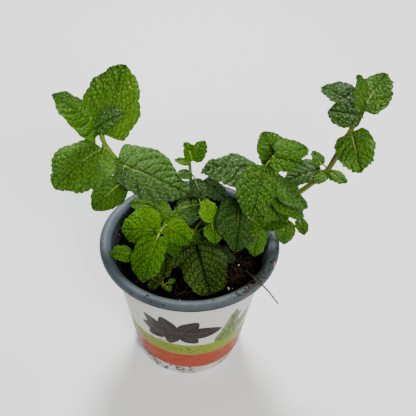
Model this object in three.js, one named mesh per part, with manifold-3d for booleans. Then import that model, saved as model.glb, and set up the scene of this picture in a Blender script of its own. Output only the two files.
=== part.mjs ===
// A potted mint plant: a thin plastic nursery pot with a rolled rim, a fill of
// potting soil, square-sectioned stems rooted in it, broad ovate leaves on short
// petioles, and one dry root lying over the rim.
// Millimetres, +Z up. The origin is the middle of the pot's underside, and the
// plant's fuller side faces -Y.
import * as THREE from 'three';
import { mergeVertices } from 'three/addons/utils/BufferGeometryUtils.js';
import Module from 'manifold-3d';

const wasm = await Module();
wasm.setup();

// ---------- driving dimensions ----------

const GAP = 0.3; // clearance kept between pieces that touch

// pot
const RIM_RADIUS = 60; // widest part of the rolled rim
const RIM_HEIGHT = 100; // level of that widest part
const RIM_CROWN = 2; // crown of the rim above it
const RIM_SKIRT = 2.6; // the rim's skirt hangs this far below it
const MOUTH_RADIUS = 54.4; // inner edge of the rim
const WALL = 1.2; // wall and floor thickness
const WALL_TOP_RADIUS = 52.9; // outside of the wall, carried up to the rim's level
const WALL_TAPER = 0.161; // radius lost per millimetre of drop
const FOOT_HEIGHT = 10; // the wall steps in below this level
const FOOT_RADIUS = 35.5; // outside of the foot ring where it stands
const FOOT_STEP = 0.9; // width of the step above the foot
const INNER_STEP = 2; // inside, the wall steps in over this height above the foot
const FLOOR_LEVEL = 2.5; // underside of the floor between pad and foot ring
const PAD_RADIUS = 8; // flat pad in the middle of the underside
const DRAIN_HOLES = 6;
const DRAIN_RADIUS = 3;
const DRAIN_CIRCLE = 22; // the holes' centres lie on this radius
const FOOT_NOTCHES = 8; // small notches that let water out below the foot ring
const NOTCH_WIDTH = 4;
const NOTCH_HEIGHT = 1.4;

// soil
const SOIL_LEVEL = 86; // mean height of the soil's surface
const SOIL_ROUGHNESS = 0.7; // height of its lumps

// plant
const LEAF_THICKNESS = 0.8; // at the midrib of a full-grown leaf
const PETIOLE_RADIUS = 0.9;
const WIDEST_POINT = 0.8; // exponent that sets where along the blade it is widest
const BLUNTNESS = 0.5; // exponent that rounds the blade's two ends
const ARCH_ROUNDING = 1.4; // exponent that keeps an arched blade flat at its midrib

// dry root: a hand-chosen route from the soil, over the rim, and out past it
const DRY_ROOT_RADIUS = 0.45;
const DRY_ROOT_ROUTE = [
  [38, -17, 88.5], [39, -25, 95], [40.5, -33, 101], [42, -38, 103.8], [46, -43, 104.2],
  [50, -48, 103.4], [55, -55, 101],
];

// Each shoot has a route for its stem, from below the soil to the growing tip, and
// leaves. A leaf's base is where its blade begins. aim is [heading, rise, roll] and
// bend is [fold, curl] in degrees: the midrib's compass heading from +X towards +Y,
// its climb, the turn about it, how far each side lifts (a drooping side is
// negative), and the bend from base to tip. size is [length, width], and lean is the
// share by which the left half is wider. Young leaves grow in one with their stem.
const SHOOTS = [
  {
    name: 'left', radius: 1.9,
    route: [
      [-6, 20, 75], [-12, 22, 95], [-24, 22, 121], [-38, 17, 143], [-47, 15, 156], [-53, 15, 167],
      [-56, 13, 177],
    ],
    leaves: [
      { base: [-56, 22, 171], aim: [58, 55, 5], size: [46, 39], bend: [-3, 32], lean: -0.05 },
      { base: [-59, 13, 181], aim: [174, 45, 1], size: [36, 30], bend: [-7, 28], lean: -0.05 },
      { base: [-57, 7.5, 185], aim: [-8, 38, 12], size: [22, 18], bend: [0, 35], lean: 0.15 },
      { base: [-55, 13, 168], aim: [-133, -13, -8], size: [41, 40], bend: [-14, 36], lean: 0 },
      { base: [-46, 12, 157], aim: [-5, -26, 12], size: [51, 42], bend: [-13, 15], lean: 0.2 },
      { base: [-45, 10, 141], aim: [-144, -28, -15], size: [25, 22], bend: [-10, 24], lean: 0 },
      { base: [-26, 19, 113], aim: [176, 7, -8], size: [15, 13], bend: [-10, 27], lean: 0 },
    ],
  },
  {
    name: 'back', radius: 1.2,
    route: [[1, 31, 76], [2, 31, 95], [2, 30, 120], [1, 28.5, 138], [1, 28, 146]],
    young: [
      { base: [0, 28, 147], aim: [150, 66, 5], size: [13, 9], bend: [-8, 29], lean: 0 },
      { base: [2, 28, 147], aim: [43, 50, -5], size: [14, 11], bend: [-12, 26], lean: 0 },
      { base: [-1, 28, 144], aim: [170, 8, 0], size: [10, 8], bend: [-10, 27], lean: 0 },
    ],
    leaves: [
      { base: [0, 24, 140], aim: [-139, 7, -9], size: [11, 10], bend: [-12, 24], lean: 0 },
      { base: [3, 25, 133], aim: [-68, -30, -7], size: [15, 12], bend: [-14, 24], lean: 0 },
      { base: [8, 31, 127], aim: [-37, -19, -4], size: [20, 16], bend: [-13, 24], lean: 0 },
    ],
  },
  {
    name: 'right', radius: 1.9,
    route: [
      [29, 20, 76], [33, 18, 98], [39, 15, 125], [45, 12.5, 145], [49, 11, 156], [51, 9, 165],
    ],
    leaves: [
      { base: [45, 18, 147], aim: [-173, 4, 0], size: [40, 32], bend: [-15, 55], lean: 0.05 },
      { base: [46, 4, 162], aim: [-109, -37, 0], size: [35, 26], bend: [-13, 25], lean: -0.15 },
      { base: [51, 5, 154], aim: [-27, -32, -12], size: [31, 26], bend: [-14, 21], lean: 0 },
      { base: [52, 6, 141], aim: [-33, -28, -6], size: [28, 23], bend: [-9, 28], lean: 0.05 },
      { base: [51, 18, 155], aim: [126, 48, -12], size: [20, 18], bend: [-5, 30], lean: -0.15 },
      { base: [54, 10, 166], aim: [36, -7, 10], size: [24, 22], bend: [-5, 31], lean: 0.3 },
      { base: [51, 4, 169], aim: [-33, 11, 26], size: [20, 17], bend: [-8, 26], lean: 0 },
      { base: [33, 7, 132], aim: [-95, -25, -12], size: [37, 30], bend: [-6, 27], lean: 0 },
    ],
  },
  {
    name: 'far_right', radius: 1.9,
    route: [
      [34, 20, 76], [38, 19, 94], [52, 16, 115], [72, 13, 138], [85, 11, 156], [90, 10, 171],
      [94, 9, 186], [98, 9, 199],
    ],
    young: [
      { base: [83, 11, 159], aim: [129, 25, 0], size: [11, 9], bend: [-14, 23], lean: 0 },
      { base: [85, 7, 157], aim: [-137, -27, 0], size: [11, 9], bend: [-14, 24], lean: 0 },
    ],
    leaves: [
      { base: [83, 18, 149], aim: [-176, -26, -5], size: [25, 21], bend: [-6, 32], lean: -0.2 },
      { base: [89, 9, 156], aim: [-43, -5, 0], size: [14, 11], bend: [-14, 23], lean: 0 },
      { base: [96, 16.5, 200.5], aim: [140, 5, -7], size: [21, 18], bend: [-2, 34], lean: -0.25 },
      { base: [94.5, 1, 204], aim: [140, -16, -36], size: [19, 17], bend: [-8, 28], lean: -0.15 },
      { base: [98, 4, 208], aim: [128, 75, 16], size: [21, 16], bend: [-6, 33], lean: -0.1 },
      { base: [102, 9, 202], aim: [50, 33, -4], size: [27, 24], bend: [-12, 22], lean: 0 },
      { base: [95, 4, 190], aim: [-84, -14, 28], size: [30, 24], bend: [-13, 13], lean: 0 },
    ],
  },
  {
    name: 'front', radius: 1.5,
    route: [[-8, 12, 78], [-10, 9, 94], [-14, 3, 106], [-17, -1, 111]],
    young: [
      { base: [-16, 8, 109], aim: [45, 19, 5], size: [11, 9], bend: [-11, 25], lean: 0 },
    ],
    leaves: [
      { base: [-21, -1, 111], aim: [166, -12, -42], size: [28, 27], bend: [-10, 34], lean: -0.15 },
      { base: [-21, -8, 112], aim: [-106, -24, 5], size: [33, 25], bend: [-18, 24], lean: -0.25 },
      { base: [-14, -4, 113], aim: [2, -24, 27], size: [19, 18], bend: [-8, 27], lean: 0 },
      { base: [-14, -5, 108], aim: [-57, -39, -12], size: [15, 12], bend: [-14, 24], lean: 0 },
      { base: [-12, 8.5, 114], aim: [150, 10, -2], size: [16, 13], bend: [-13, 24], lean: 0 },
    ],
  },
  {
    name: 'centre', radius: 1.3,
    route: [[16, 9, 78], [16, 6, 96], [14.5, -2.5, 111], [14.5, -4.5, 116]],
    leaves: [
      { base: [15, -2, 119], aim: [115, 36, 2], size: [17, 14], bend: [-13, 23], lean: 0 },
      { base: [14, -8, 118], aim: [-80, -14, 0], size: [14, 12], bend: [-10, 25], lean: 0 },
    ],
  },
  {
    name: 'low', radius: 1.6,
    route: [[-2, 14, 78], [-3, 12, 88], [-3, 10, 96], [-2, 10, 101]],
    young: [
      { base: [1, 8, 103], aim: [-63, -26, 0], size: [11, 9], bend: [-12, 25], lean: 0 },
    ],
    leaves: [
      { base: [-1, 3, 95], aim: [-68, -6, 6], size: [45, 37], bend: [-12, 16], lean: 0.1 },
      { base: [-7, 11, 106], aim: [31, 14, 2], size: [17, 14], bend: [-8, 29], lean: 0.1 },
    ],
  },
  {
    name: 'inner', radius: 1.4,
    route: [[43, 6, 78], [45, 3, 100], [46, 2, 112], [47, 1.5, 116]],
    leaves: [
      { base: [44, -2, 120], aim: [-117, -39, 28], size: [18, 14], bend: [-16, 24], lean: 0 },
      { base: [48, -4, 117], aim: [-96, -38, -14], size: [20, 15], bend: [-19, 23], lean: 0 },
      { base: [50, 3, 119], aim: [-47, 23, 15], size: [15, 13], bend: [-12, 25], lean: 0 },
    ],
  },
  {
    name: 'over_rim', radius: 1.2,
    route: [[42, 13, 78], [45, 12, 98], [53, 10, 112], [62, 9, 117], [68, 7.5, 117]],
    leaves: [
      { base: [62, 5, 114], aim: [-92, -31, 0], size: [15, 12], bend: [-13, 25], lean: 0.15 },
      { base: [72, 6, 116], aim: [-73, -23, 0], size: [12, 9], bend: [-11, 26], lean: 0.05 },
    ],
  },
  {
    name: 'sprout_left', radius: 1.1,
    route: [[-32, -4, 78], [-33, -6, 89], [-35, -9, 96]],
    leaves: [
      { base: [-37, -12, 100], aim: [-162, 16, -11], size: [16, 14], bend: [-12, 25], lean: 0 },
    ],
  },
  {
    name: 'sprout_front', radius: 0.8,
    route: [[-18, -27, 80], [-18, -28, 86], [-17, -29, 89]],
    young: [
      { base: [-16, -29, 90], aim: [10, 12, 0], size: [7, 6], bend: [-8, 22], lean: 0 },
      { base: [-17, -30, 90], aim: [-75, 0, 0], size: [7, 6], bend: [-8, 22], lean: 0 },
      { base: [-18, -28, 90], aim: [150, 10, 0], size: [7, 6], bend: [-8, 22], lean: 0 },
    ],
    leaves: [],
  },
];

// ---------- materials ----------

const paint = (color, roughness) => new THREE.MeshStandardMaterial({ color, roughness, metalness: 0 });
const POT_COLOUR = 0xc9cccb;
const SOIL_COLOUR = 0x1d1712;
const STEM_COLOUR = 0x7c8f3c;
const LEAF_COLOUR = 0x3f7a1e;
const DRY_ROOT_COLOUR = 0x8a6a4a;

// ---------- solids ----------

// A three.js geometry as a manifold solid: only positions count, shared corners merged.
function solid(geometry) {
  const bare = geometry.clone();
  bare.deleteAttribute('normal');
  bare.deleteAttribute('uv');
  const merged = mergeVertices(bare, 1e-4);
  return new wasm.Manifold(new wasm.Mesh({
    numProp: 3,
    vertProperties: new Float32Array(merged.attributes.position.array),
    triVerts: new Uint32Array(merged.index.array),
  }));
}

function geometryOf(manifold) {
  const mesh = manifold.getMesh();
  const geometry = new THREE.BufferGeometry();
  geometry.setAttribute('position', new THREE.BufferAttribute(new Float32Array(mesh.vertProperties), 3));
  geometry.setIndex(new THREE.BufferAttribute(new Uint32Array(mesh.triVerts), 1));
  geometry.computeVertexNormals();
  return geometry;
}

const group = new THREE.Group();

function addPiece(name, manifold, material) {
  const mesh = new THREE.Mesh(geometryOf(manifold), material);
  mesh.name = name;
  group.add(mesh);
}

const TURNED_SEGMENTS = 64;
const SEAM_ANGLE = 0.023; // keeps the corners of turned solids off the X and Y axes

// A profile of [radius, height] points turned about the Z axis.
function turned(profile) {
  const points = profile.map(([radius, height]) => new THREE.Vector2(radius, height));
  return new THREE.LatheGeometry(points, TURNED_SEGMENTS).rotateX(Math.PI / 2).rotateZ(SEAM_ANGLE);
}

// ---------- pot ----------

const wallRadius = (height) => WALL_TOP_RADIUS - WALL_TAPER * (RIM_HEIGHT - height);

function pot() {
  const skirtFoot = RIM_HEIGHT - RIM_SKIRT;
  const lipUnderside = RIM_HEIGHT + RIM_CROWN - WALL * 1.5;
  const innerLedge = RIM_HEIGHT - 4; // the mouth narrows to the wall by here
  const floorTop = FLOOR_LEVEL + WALL;
  const footTopRadius = wallRadius(FOOT_HEIGHT) - FOOT_STEP;
  const shell = solid(turned([
    [0, 0],
    [PAD_RADIUS, 0],
    [PAD_RADIUS + 1, FLOOR_LEVEL],
    [FOOT_RADIUS - WALL, FLOOR_LEVEL],
    [FOOT_RADIUS - WALL, 0],
    [FOOT_RADIUS, 0],
    [footTopRadius, FOOT_HEIGHT],
    [wallRadius(FOOT_HEIGHT), FOOT_HEIGHT + 0.5],
    [wallRadius(lipUnderside), lipUnderside],
    [RIM_RADIUS - WALL, lipUnderside],
    [RIM_RADIUS - WALL, skirtFoot],
    [RIM_RADIUS - 0.3, skirtFoot],
    [RIM_RADIUS, RIM_HEIGHT],
    [RIM_RADIUS - 0.9, RIM_HEIGHT + RIM_CROWN * 0.65],
    [RIM_RADIUS - 2.6, RIM_HEIGHT + RIM_CROWN],
    [MOUTH_RADIUS + 0.7, RIM_HEIGHT + RIM_CROWN],
    [MOUTH_RADIUS, RIM_HEIGHT + RIM_CROWN * 0.7],
    [wallRadius(innerLedge) - WALL, innerLedge],
    [wallRadius(FOOT_HEIGHT + INNER_STEP) - WALL, FOOT_HEIGHT + INNER_STEP],
    [footTopRadius - WALL, FOOT_HEIGHT],
    [FOOT_RADIUS - WALL + 0.4, floorTop],
    [0, floorTop],
  ]));
  let body = shell;
  for (let i = 0; i < DRAIN_HOLES; i += 1) {
    const angle = (i + 0.5) * (2 * Math.PI / DRAIN_HOLES);
    const drill = new THREE.CylinderGeometry(DRAIN_RADIUS, DRAIN_RADIUS, floorTop * 3, 16)
      .rotateX(Math.PI / 2)
      .translate(DRAIN_CIRCLE * Math.cos(angle), DRAIN_CIRCLE * Math.sin(angle), 0);
    body = body.subtract(solid(drill));
  }
  for (let i = 0; i < FOOT_NOTCHES; i += 1) {
    const cutter = new THREE.BoxGeometry(WALL * 4, NOTCH_WIDTH, NOTCH_HEIGHT * 2)
      .translate(FOOT_RADIUS - WALL / 2, 0, 0)
      .rotateZ((i + 0.25) * (2 * Math.PI / FOOT_NOTCHES));
    body = body.subtract(solid(cutter));
  }
  return body;
}

// ---------- stems ----------

const toVectors = (points) => points.map(([x, y, z]) => new THREE.Vector3(x, y, z));

// The mint stem's section is a square with rounded corners.
function stemSection(radius) {
  const flat = radius * 0.5;
  const outline = [
    [radius, flat], [flat, radius], [-flat, radius], [-radius, flat],
    [-radius, -flat], [-flat, -radius], [flat, -radius], [radius, -flat],
  ];
  return new THREE.Shape(outline.map(([x, y]) => new THREE.Vector2(x, y)));
}

function stem(route, radius) {
  const path = new THREE.CatmullRomCurve3(toVectors(route));
  const steps = Math.max(4, Math.round(path.getLength() / 9));
  const options = { steps, extrudePath: path, bevelEnabled: false };
  return solid(new THREE.ExtrudeGeometry(stemSection(radius), options));
}

// ---------- leaves ----------

// Stations along a leaf: two rings of the petiole, then rings of the blade.
const PETIOLE_STATIONS = [0, 0.75];
const BLADE_STATIONS = [0.03, 0.13, 0.28, 0.44, 0.6, 0.76, 0.9, 0.99];

function leafFrame([heading, rise, roll]) {
  const euler = new THREE.Euler(
    THREE.MathUtils.degToRad(roll),
    THREE.MathUtils.degToRad(-rise),
    THREE.MathUtils.degToRad(heading),
    'ZYX',
  );
  return new THREE.Matrix4().makeRotationFromEuler(euler);
}

// The point of the blade at station s (0 base, 1 tip), t across it (-1 right edge,
// 1 left edge) and lift above its middle surface, in the leaf's own axes: x along
// the chord of the midrib, y to the left, z out of the upper face.
function bladePoint(leaf, s, t, lift) {
  const [length, width] = leaf.size;
  const fold = THREE.MathUtils.degToRad(leaf.bend[0]);
  const curl = THREE.MathUtils.degToRad(leaf.bend[1]);
  const slope = curl * (0.5 - s);
  const along = length * (Math.sin(curl / 2) - Math.sin(slope)) / curl;
  const up = length * (Math.cos(slope) - Math.cos(curl / 2)) / curl;
  const roundness = Math.sin(Math.PI * s ** WIDEST_POINT) ** BLUNTNESS;
  const half = width / 2 * roundness * (1 + leaf.lean * Math.sign(t));
  const height = half * Math.abs(t) ** ARCH_ROUNDING * Math.sin(fold) + lift;
  return new THREE.Vector3(
    along - height * Math.sin(slope),
    half * t * Math.cos(fold),
    up + height * Math.cos(slope),
  );
}

// A leaf is a closed tube of rings, round along the petiole and flattened to a thin
// lens across the blade. root is the petiole's far end.
function leafSolid(leaf, root) {
  const base = new THREE.Vector3(...leaf.base);
  const frame = leafFrame(leaf.aim);
  const side = new THREE.Vector3(0, 1, 0).applyMatrix4(frame);
  const upward = new THREE.Vector3().crossVectors(base.clone().sub(root), side).normalize();
  const rows = PETIOLE_STATIONS.length + BLADE_STATIONS.length - 1;
  const petiole = Math.min(PETIOLE_RADIUS, leaf.size[1] * 0.06);
  const thickness = Math.min(LEAF_THICKNESS, leaf.size[1] * 0.05);
  const geometry = new THREE.CylinderGeometry(1, 1, 1, 8, rows);
  const position = geometry.attributes.position;
  const corner = new THREE.Vector3();
  for (let i = 0; i < position.count; i += 1) {
    corner.fromBufferAttribute(position, i);
    const row = Math.round((0.5 - corner.y) * rows);
    if (row < PETIOLE_STATIONS.length) {
      const centre = root.clone().lerp(base, PETIOLE_STATIONS[row]);
      centre.addScaledVector(side, corner.x * petiole);
      centre.addScaledVector(upward, corner.z * petiole);
      position.setXYZ(i, centre.x, centre.y, centre.z);
    } else {
      const s = BLADE_STATIONS[row - PETIOLE_STATIONS.length];
      const point = bladePoint(leaf, s, corner.x, corner.z * thickness / 2);
      point.applyMatrix4(frame).add(base);
      position.setXYZ(i, point.x, point.y, point.z);
    }
  }
  return solid(geometry);
}

// Where a petiole starts: off the stem's middle line, at the point nearest to the
// leaf's base, by the given distance towards that base.
function petioleRoot(route, base, offset) {
  const points = new THREE.CatmullRomCurve3(toVectors(route)).getPoints(80);
  const target = new THREE.Vector3(...base);
  let nearest = points[0];
  for (const point of points) {
    if (point.distanceTo(target) < nearest.distanceTo(target)) nearest = point;
  }
  const reach = Math.min(offset, nearest.distanceTo(target) - PETIOLE_RADIUS);
  return nearest.add(target.sub(nearest).setLength(reach));
}

// The hollow that a stem needs in its neighbours: fatter, and longer at both ends.
function socket({ route, radius }) {
  const path = toVectors(route);
  const last = path.length - 1;
  const before = path[0].clone().sub(path[1]).setLength(GAP).add(path[0]);
  const after = path[last].clone().sub(path[last - 1]).setLength(GAP).add(path[last]);
  const stretched = [before, ...path.slice(1, last), after].map((point) => point.toArray());
  return stem(stretched, radius + GAP);
}

// ---------- soil ----------

// Gentle lumps over the soil's surface.
function lump(x, y) {
  const coarse = Math.sin(x * 0.21 + 1.3) * Math.cos(y * 0.17 - 0.4);
  const fine = Math.sin(x * 0.47 - y * 0.39) * 0.5;
  return SOIL_ROUGHNESS * (coarse + fine);
}

function soil(stems) {
  const inside = (height) => wallRadius(height) - WALL - GAP;
  const bottom = FLOOR_LEVEL + WALL + GAP;
  const rings = [0.85, 0.68, 0.5, 0.32, 0.15];
  const edge = inside(SOIL_LEVEL);
  const geometry = turned([
    [0, bottom],
    [FOOT_RADIUS - WALL - GAP, bottom],
    [inside(FOOT_HEIGHT) - FOOT_STEP, FOOT_HEIGHT],
    [inside(FOOT_HEIGHT + INNER_STEP), FOOT_HEIGHT + INNER_STEP],
    [edge, SOIL_LEVEL],
    ...rings.map((share) => [edge * share, SOIL_LEVEL]),
    [0, SOIL_LEVEL],
  ]);
  const position = geometry.attributes.position;
  for (let i = 0; i < position.count; i += 1) {
    const x = position.getX(i);
    const y = position.getY(i);
    const onTop = position.getZ(i) > SOIL_LEVEL - 0.01 && Math.hypot(x, y) < edge - 0.5;
    if (onTop) position.setZ(i, SOIL_LEVEL + lump(x, y));
  }
  let body = solid(geometry);
  for (const shoot of stems) body = body.subtract(socket(shoot));
  return body;
}

// ---------- dry root ----------

function dryRoot() {
  const path = new THREE.CatmullRomCurve3(toVectors(DRY_ROOT_ROUTE));
  const section = new THREE.Shape().absarc(0, 0, DRY_ROOT_RADIUS, 0, 2 * Math.PI);
  const options = { steps: 14, curveSegments: 6, extrudePath: path, bevelEnabled: false };
  return solid(new THREE.ExtrudeGeometry(section, options));
}

// ---------- assembly ----------

addPiece('pot', pot(), paint(POT_COLOUR, 0.5));
addPiece('soil', soil(SHOOTS), paint(SOIL_COLOUR, 0.95));
addPiece('dry_root', dryRoot(), paint(DRY_ROOT_COLOUR, 0.9));

for (const shoot of SHOOTS) {
  const hollow = socket(shoot);
  let body = stem(shoot.route, shoot.radius);
  for (const leaf of shoot.young ?? []) {
    body = body.add(leafSolid(leaf, petioleRoot(shoot.route, leaf.base, 0)));
  }
  addPiece(`stem_${shoot.name}`, body, paint(STEM_COLOUR, 0.6));
  shoot.leaves.forEach((leaf, index) => {
    const root = petioleRoot(shoot.route, leaf.base, shoot.radius * 1.2 + GAP);
    const clear = leafSolid(leaf, root).subtract(hollow);
    addPiece(`leaf_${shoot.name}_${index + 1}`, clear, paint(LEAF_COLOUR, 0.55));
  });
}

export default group;
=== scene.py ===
import math
import random

import bmesh
import bpy
import numpy as np
from mathutils import Euler, Matrix, Vector, noise


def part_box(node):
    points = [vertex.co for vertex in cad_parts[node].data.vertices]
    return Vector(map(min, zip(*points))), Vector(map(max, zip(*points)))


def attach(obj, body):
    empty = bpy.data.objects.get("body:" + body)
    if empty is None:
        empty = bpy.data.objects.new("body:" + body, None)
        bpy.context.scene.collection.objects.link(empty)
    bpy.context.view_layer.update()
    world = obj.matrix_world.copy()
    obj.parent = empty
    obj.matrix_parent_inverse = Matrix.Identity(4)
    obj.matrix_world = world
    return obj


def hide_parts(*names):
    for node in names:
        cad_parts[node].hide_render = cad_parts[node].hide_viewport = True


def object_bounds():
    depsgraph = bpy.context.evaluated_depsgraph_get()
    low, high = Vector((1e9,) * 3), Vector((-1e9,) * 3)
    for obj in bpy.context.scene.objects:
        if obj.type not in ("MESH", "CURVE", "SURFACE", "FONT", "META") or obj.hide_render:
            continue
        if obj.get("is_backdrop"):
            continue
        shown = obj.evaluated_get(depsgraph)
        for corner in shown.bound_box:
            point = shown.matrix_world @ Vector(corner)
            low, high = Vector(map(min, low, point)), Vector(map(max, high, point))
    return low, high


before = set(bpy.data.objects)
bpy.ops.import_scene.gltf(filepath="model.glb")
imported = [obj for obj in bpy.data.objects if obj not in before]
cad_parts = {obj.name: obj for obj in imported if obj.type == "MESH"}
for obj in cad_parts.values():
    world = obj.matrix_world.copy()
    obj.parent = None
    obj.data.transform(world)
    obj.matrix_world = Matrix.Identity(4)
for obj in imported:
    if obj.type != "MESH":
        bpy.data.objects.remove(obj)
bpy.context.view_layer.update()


# ---------------------------------------------------------------------------
# The nursery pot: one sheet of thin polypropylene, drawn over a mould. Its rim is
# rolled outwards for stiffness, the wall steps in to a foot that stacks in the next
# pot, and the slate grey sheet is printed white with coloured bands outside.
# ---------------------------------------------------------------------------

def finish(name):
    """A new node material, its tree, and the shader that ends it."""
    material = bpy.data.materials.new(name)
    material.use_nodes = True
    tree = material.node_tree
    return material, tree, tree.nodes["Principled BSDF"]


def node(tree, kind, inputs=None, **settings):
    """Adds a node. Each input is given a number, a colour or another node's output."""
    made = tree.nodes.new(kind)
    for key, value in settings.items():
        setattr(made, key, value)
    for key, value in (inputs or {}).items():
        if isinstance(value, bpy.types.NodeSocket):
            tree.links.new(value, made.inputs[key])
        else:
            made.inputs[key].default_value = value
    return made


def place_on(tree):
    """Where each point of the piece is, in metres."""
    return node(tree, "ShaderNodeTexCoord").outputs["Object"]


def kept(tree, name):
    """The number that the mesh keeps at each point under a name."""
    return node(tree, "ShaderNodeAttribute", attribute_name=name).outputs["Fac"]


def calc(tree, operation, a, b=0.0, c=0.0, clamp=False):
    """One sum on numbers or outputs."""
    return node(tree, "ShaderNodeMath", {0: a, 1: b, 2: c}, operation=operation, use_clamp=clamp).outputs[0]


def ramp(tree, value, low, high, to_low=0.0, to_high=1.0):
    """A smooth step between two values."""
    made = node(tree, "ShaderNodeMapRange", {0: value, 1: low, 2: high, 3: to_low, 4: to_high},
                interpolation_type="SMOOTHSTEP")
    return made.outputs[0]


def mix(tree, factor, a, b, how="MIX"):
    """Two colours mixed."""
    made = node(tree, "ShaderNodeMix", {0: factor, 6: a, 7: b}, data_type="RGBA", blend_type=how)
    return made.outputs[2]


def grains(tree, where, scale, detail=4.0, rough=0.55, twist=0.0):
    """Soft noise at a scale in cycles per metre."""
    made = node(tree, "ShaderNodeTexNoise", {"Vector": where, "Scale": scale, "Detail": detail,
                                             "Roughness": rough, "Distortion": twist})
    return made.outputs["Fac"]


def bump(tree, shader, height, distance, strength=1.0, under=None):
    """Raises the surface by height times distance, in metres, over an earlier bump."""
    made = node(tree, "ShaderNodeBump", {"Height": height, "Distance": distance, "Strength": strength})
    if under is not None:
        tree.links.new(under, made.inputs["Normal"])
    tree.links.new(made.outputs["Normal"], shader.inputs["Normal"])
    return made.outputs["Normal"]


def only(piece):
    """Selects one piece and nothing else."""
    bpy.ops.object.select_all(action="DESELECT")
    piece.select_set(True)
    bpy.context.view_layer.objects.active = piece


def settle(piece):
    """Moves a piece's place into its mesh, so that its object sits at the origin."""
    only(piece)
    bpy.ops.object.transform_apply(location=True, rotation=True, scale=True)


pot_low, pot_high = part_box("pot")
RIM_RADIUS = (pot_high[0] - pot_low[0]) / 2
RIM_LEVEL = pot_high[2] - 0.002  # where the wall turns out into the rim
WALL_AT_RIM = RIM_RADIUS - 0.0071  # the outside radius of the wall there
WALL_TAPER = 0.161  # how much narrower the wall gets per metre down
WALL = 0.0012  # its thickness


def wall_radius(height):
    """The outside radius of the wall at a height."""
    return WALL_AT_RIM - WALL_TAPER * (RIM_LEVEL - height)


def mm(pairs):
    """Pairs given in millimetres, in metres."""
    return [(a / 1000, b / 1000) for a, b in pairs]


# rings of the profile as (radius, height), from the pad under the floor, out to the
# foot, up the outside, over the rolled rim, and down the inside to the floor
outside = mm([(8, 0), (9, 2.5), (33.9, 2.5), (34.3, 2.1), (34.3, 0.25), (34.5, 0), (35.2, 0), (35.5, 0.3),
              (37.3, 9.3), (37.6, 9.8), (38.1, 10.15), (38.45, 10.6)])
outside += [(wall_radius(h / 1000), h / 1000) for h in (12, 20, 32, 44, 56, 68, 80, 90, 96, 99.6)]
rim = mm([(53.1, 100.15), (53.6, 100.25), (58.25, 100.2), (58.7, 99.9), (58.8, 99.3), (58.65, 97.4),
          (58.8, 97.0), (59.15, 96.85), (59.5, 97.05), (59.75, 97.7), (60.0, 99.3), (59.92, 100.2),
          (59.6, 100.95), (59.05, 101.5), (58.3, 101.85), (57.4, 102.0), (56.3, 102.0), (55.5, 101.9),
          (54.9, 101.7), (54.35, 101.4), (53.75, 101.0), (53.1, 100.5), (52.6, 99.8), (52.25, 98.8),
          (51.95, 97.6), (51.65, 96.6), (51.35, 95.6)])
inside = [(wall_radius(h / 1000) - WALL, h / 1000) for h in (94.6, 93.8, 90, 84, 76, 64, 50, 36, 22, 12)]
inside[0] = (inside[0][0] - 0.0001, inside[0][1])  # eases the bend below the rim
inside += mm([(36.5, 10.3), (36.2, 9.6), (34.9, 4.4), (34.2, 3.8), (20, 3.7), (6, 3.7)])
DRAWN_RADIUS, DRAWN_LEVEL = 0.060, 0.100  # the rim's rings above are drawn for these
rim = [(r + RIM_RADIUS - DRAWN_RADIUS, h + RIM_LEVEL - DRAWN_LEVEL) for r, h in rim]
rings = outside + rim + inside

bpy.ops.object.select_all(action="DESELECT")
bpy.ops.mesh.primitive_circle_add(vertices=160, radius=rings[0][0], location=(0, 0, rings[0][1]))
pot = bpy.context.object
pot.name = "nursery_pot"
bpy.ops.object.mode_set(mode="EDIT")
bpy.ops.mesh.select_all(action="SELECT")
for (radius, height), (next_radius, next_height) in zip(rings, rings[1:]):
    bpy.ops.mesh.extrude_edges_move(TRANSFORM_OT_translate={"value": (0, 0, next_height - height)})
    grow = next_radius / radius
    bpy.ops.transform.resize(value=(grow, grow, 1), center_override=(0, 0, 0))
bpy.ops.mesh.merge(type="CENTER")
bpy.ops.mesh.select_all(action="DESELECT")
bpy.ops.mesh.select_mode(type="EDGE")
bpy.ops.mesh.select_non_manifold()
bpy.ops.mesh.edge_face_add()
bpy.ops.mesh.poke()
bpy.ops.mesh.select_all(action="SELECT")
bpy.ops.mesh.normals_make_consistent(inside=False)
bpy.ops.object.mode_set(mode="OBJECT")
settle(pot)

# six drain holes through the floor, and eight notches below the foot ring
DRAIN_HOLES, DRAIN_CIRCLE, DRAIN_RADIUS = 6, 0.022, 0.003
NOTCHES, FOOT_RING, NOTCH_SIZE = 8, 0.0349, (0.0048, 0.004, 0.0028)
cutters = []
for i in range(DRAIN_HOLES):
    angle = (i + 0.5) * math.tau / DRAIN_HOLES
    bpy.ops.mesh.primitive_cylinder_add(
        vertices=32, radius=DRAIN_RADIUS, depth=0.012,
        location=(DRAIN_CIRCLE * math.cos(angle), DRAIN_CIRCLE * math.sin(angle), 0.003))
    cutters.append(bpy.context.object)
for i in range(NOTCHES):
    angle = (i + 0.25) * math.tau / NOTCHES
    bpy.ops.mesh.primitive_cube_add(
        size=1, location=(FOOT_RING * math.cos(angle), FOOT_RING * math.sin(angle), 0),
        rotation=(0, 0, angle), scale=NOTCH_SIZE)
    cutters.append(bpy.context.object)
bpy.ops.object.select_all(action="DESELECT")
for cutter in cutters:
    cutter.select_set(True)
bpy.context.view_layer.objects.active = cutters[0]
bpy.ops.object.join()
cutters = bpy.context.object
only(pot)
drill = pot.modifiers.new("drill", "BOOLEAN")
drill.object = cutters
drill.operation = "DIFFERENCE"
drill.solver = "EXACT"
bpy.ops.object.modifier_apply(modifier="drill")
bpy.data.objects.remove(cutters)
only(pot)
bpy.ops.object.shade_smooth_by_angle(angle=math.radians(32))


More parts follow.
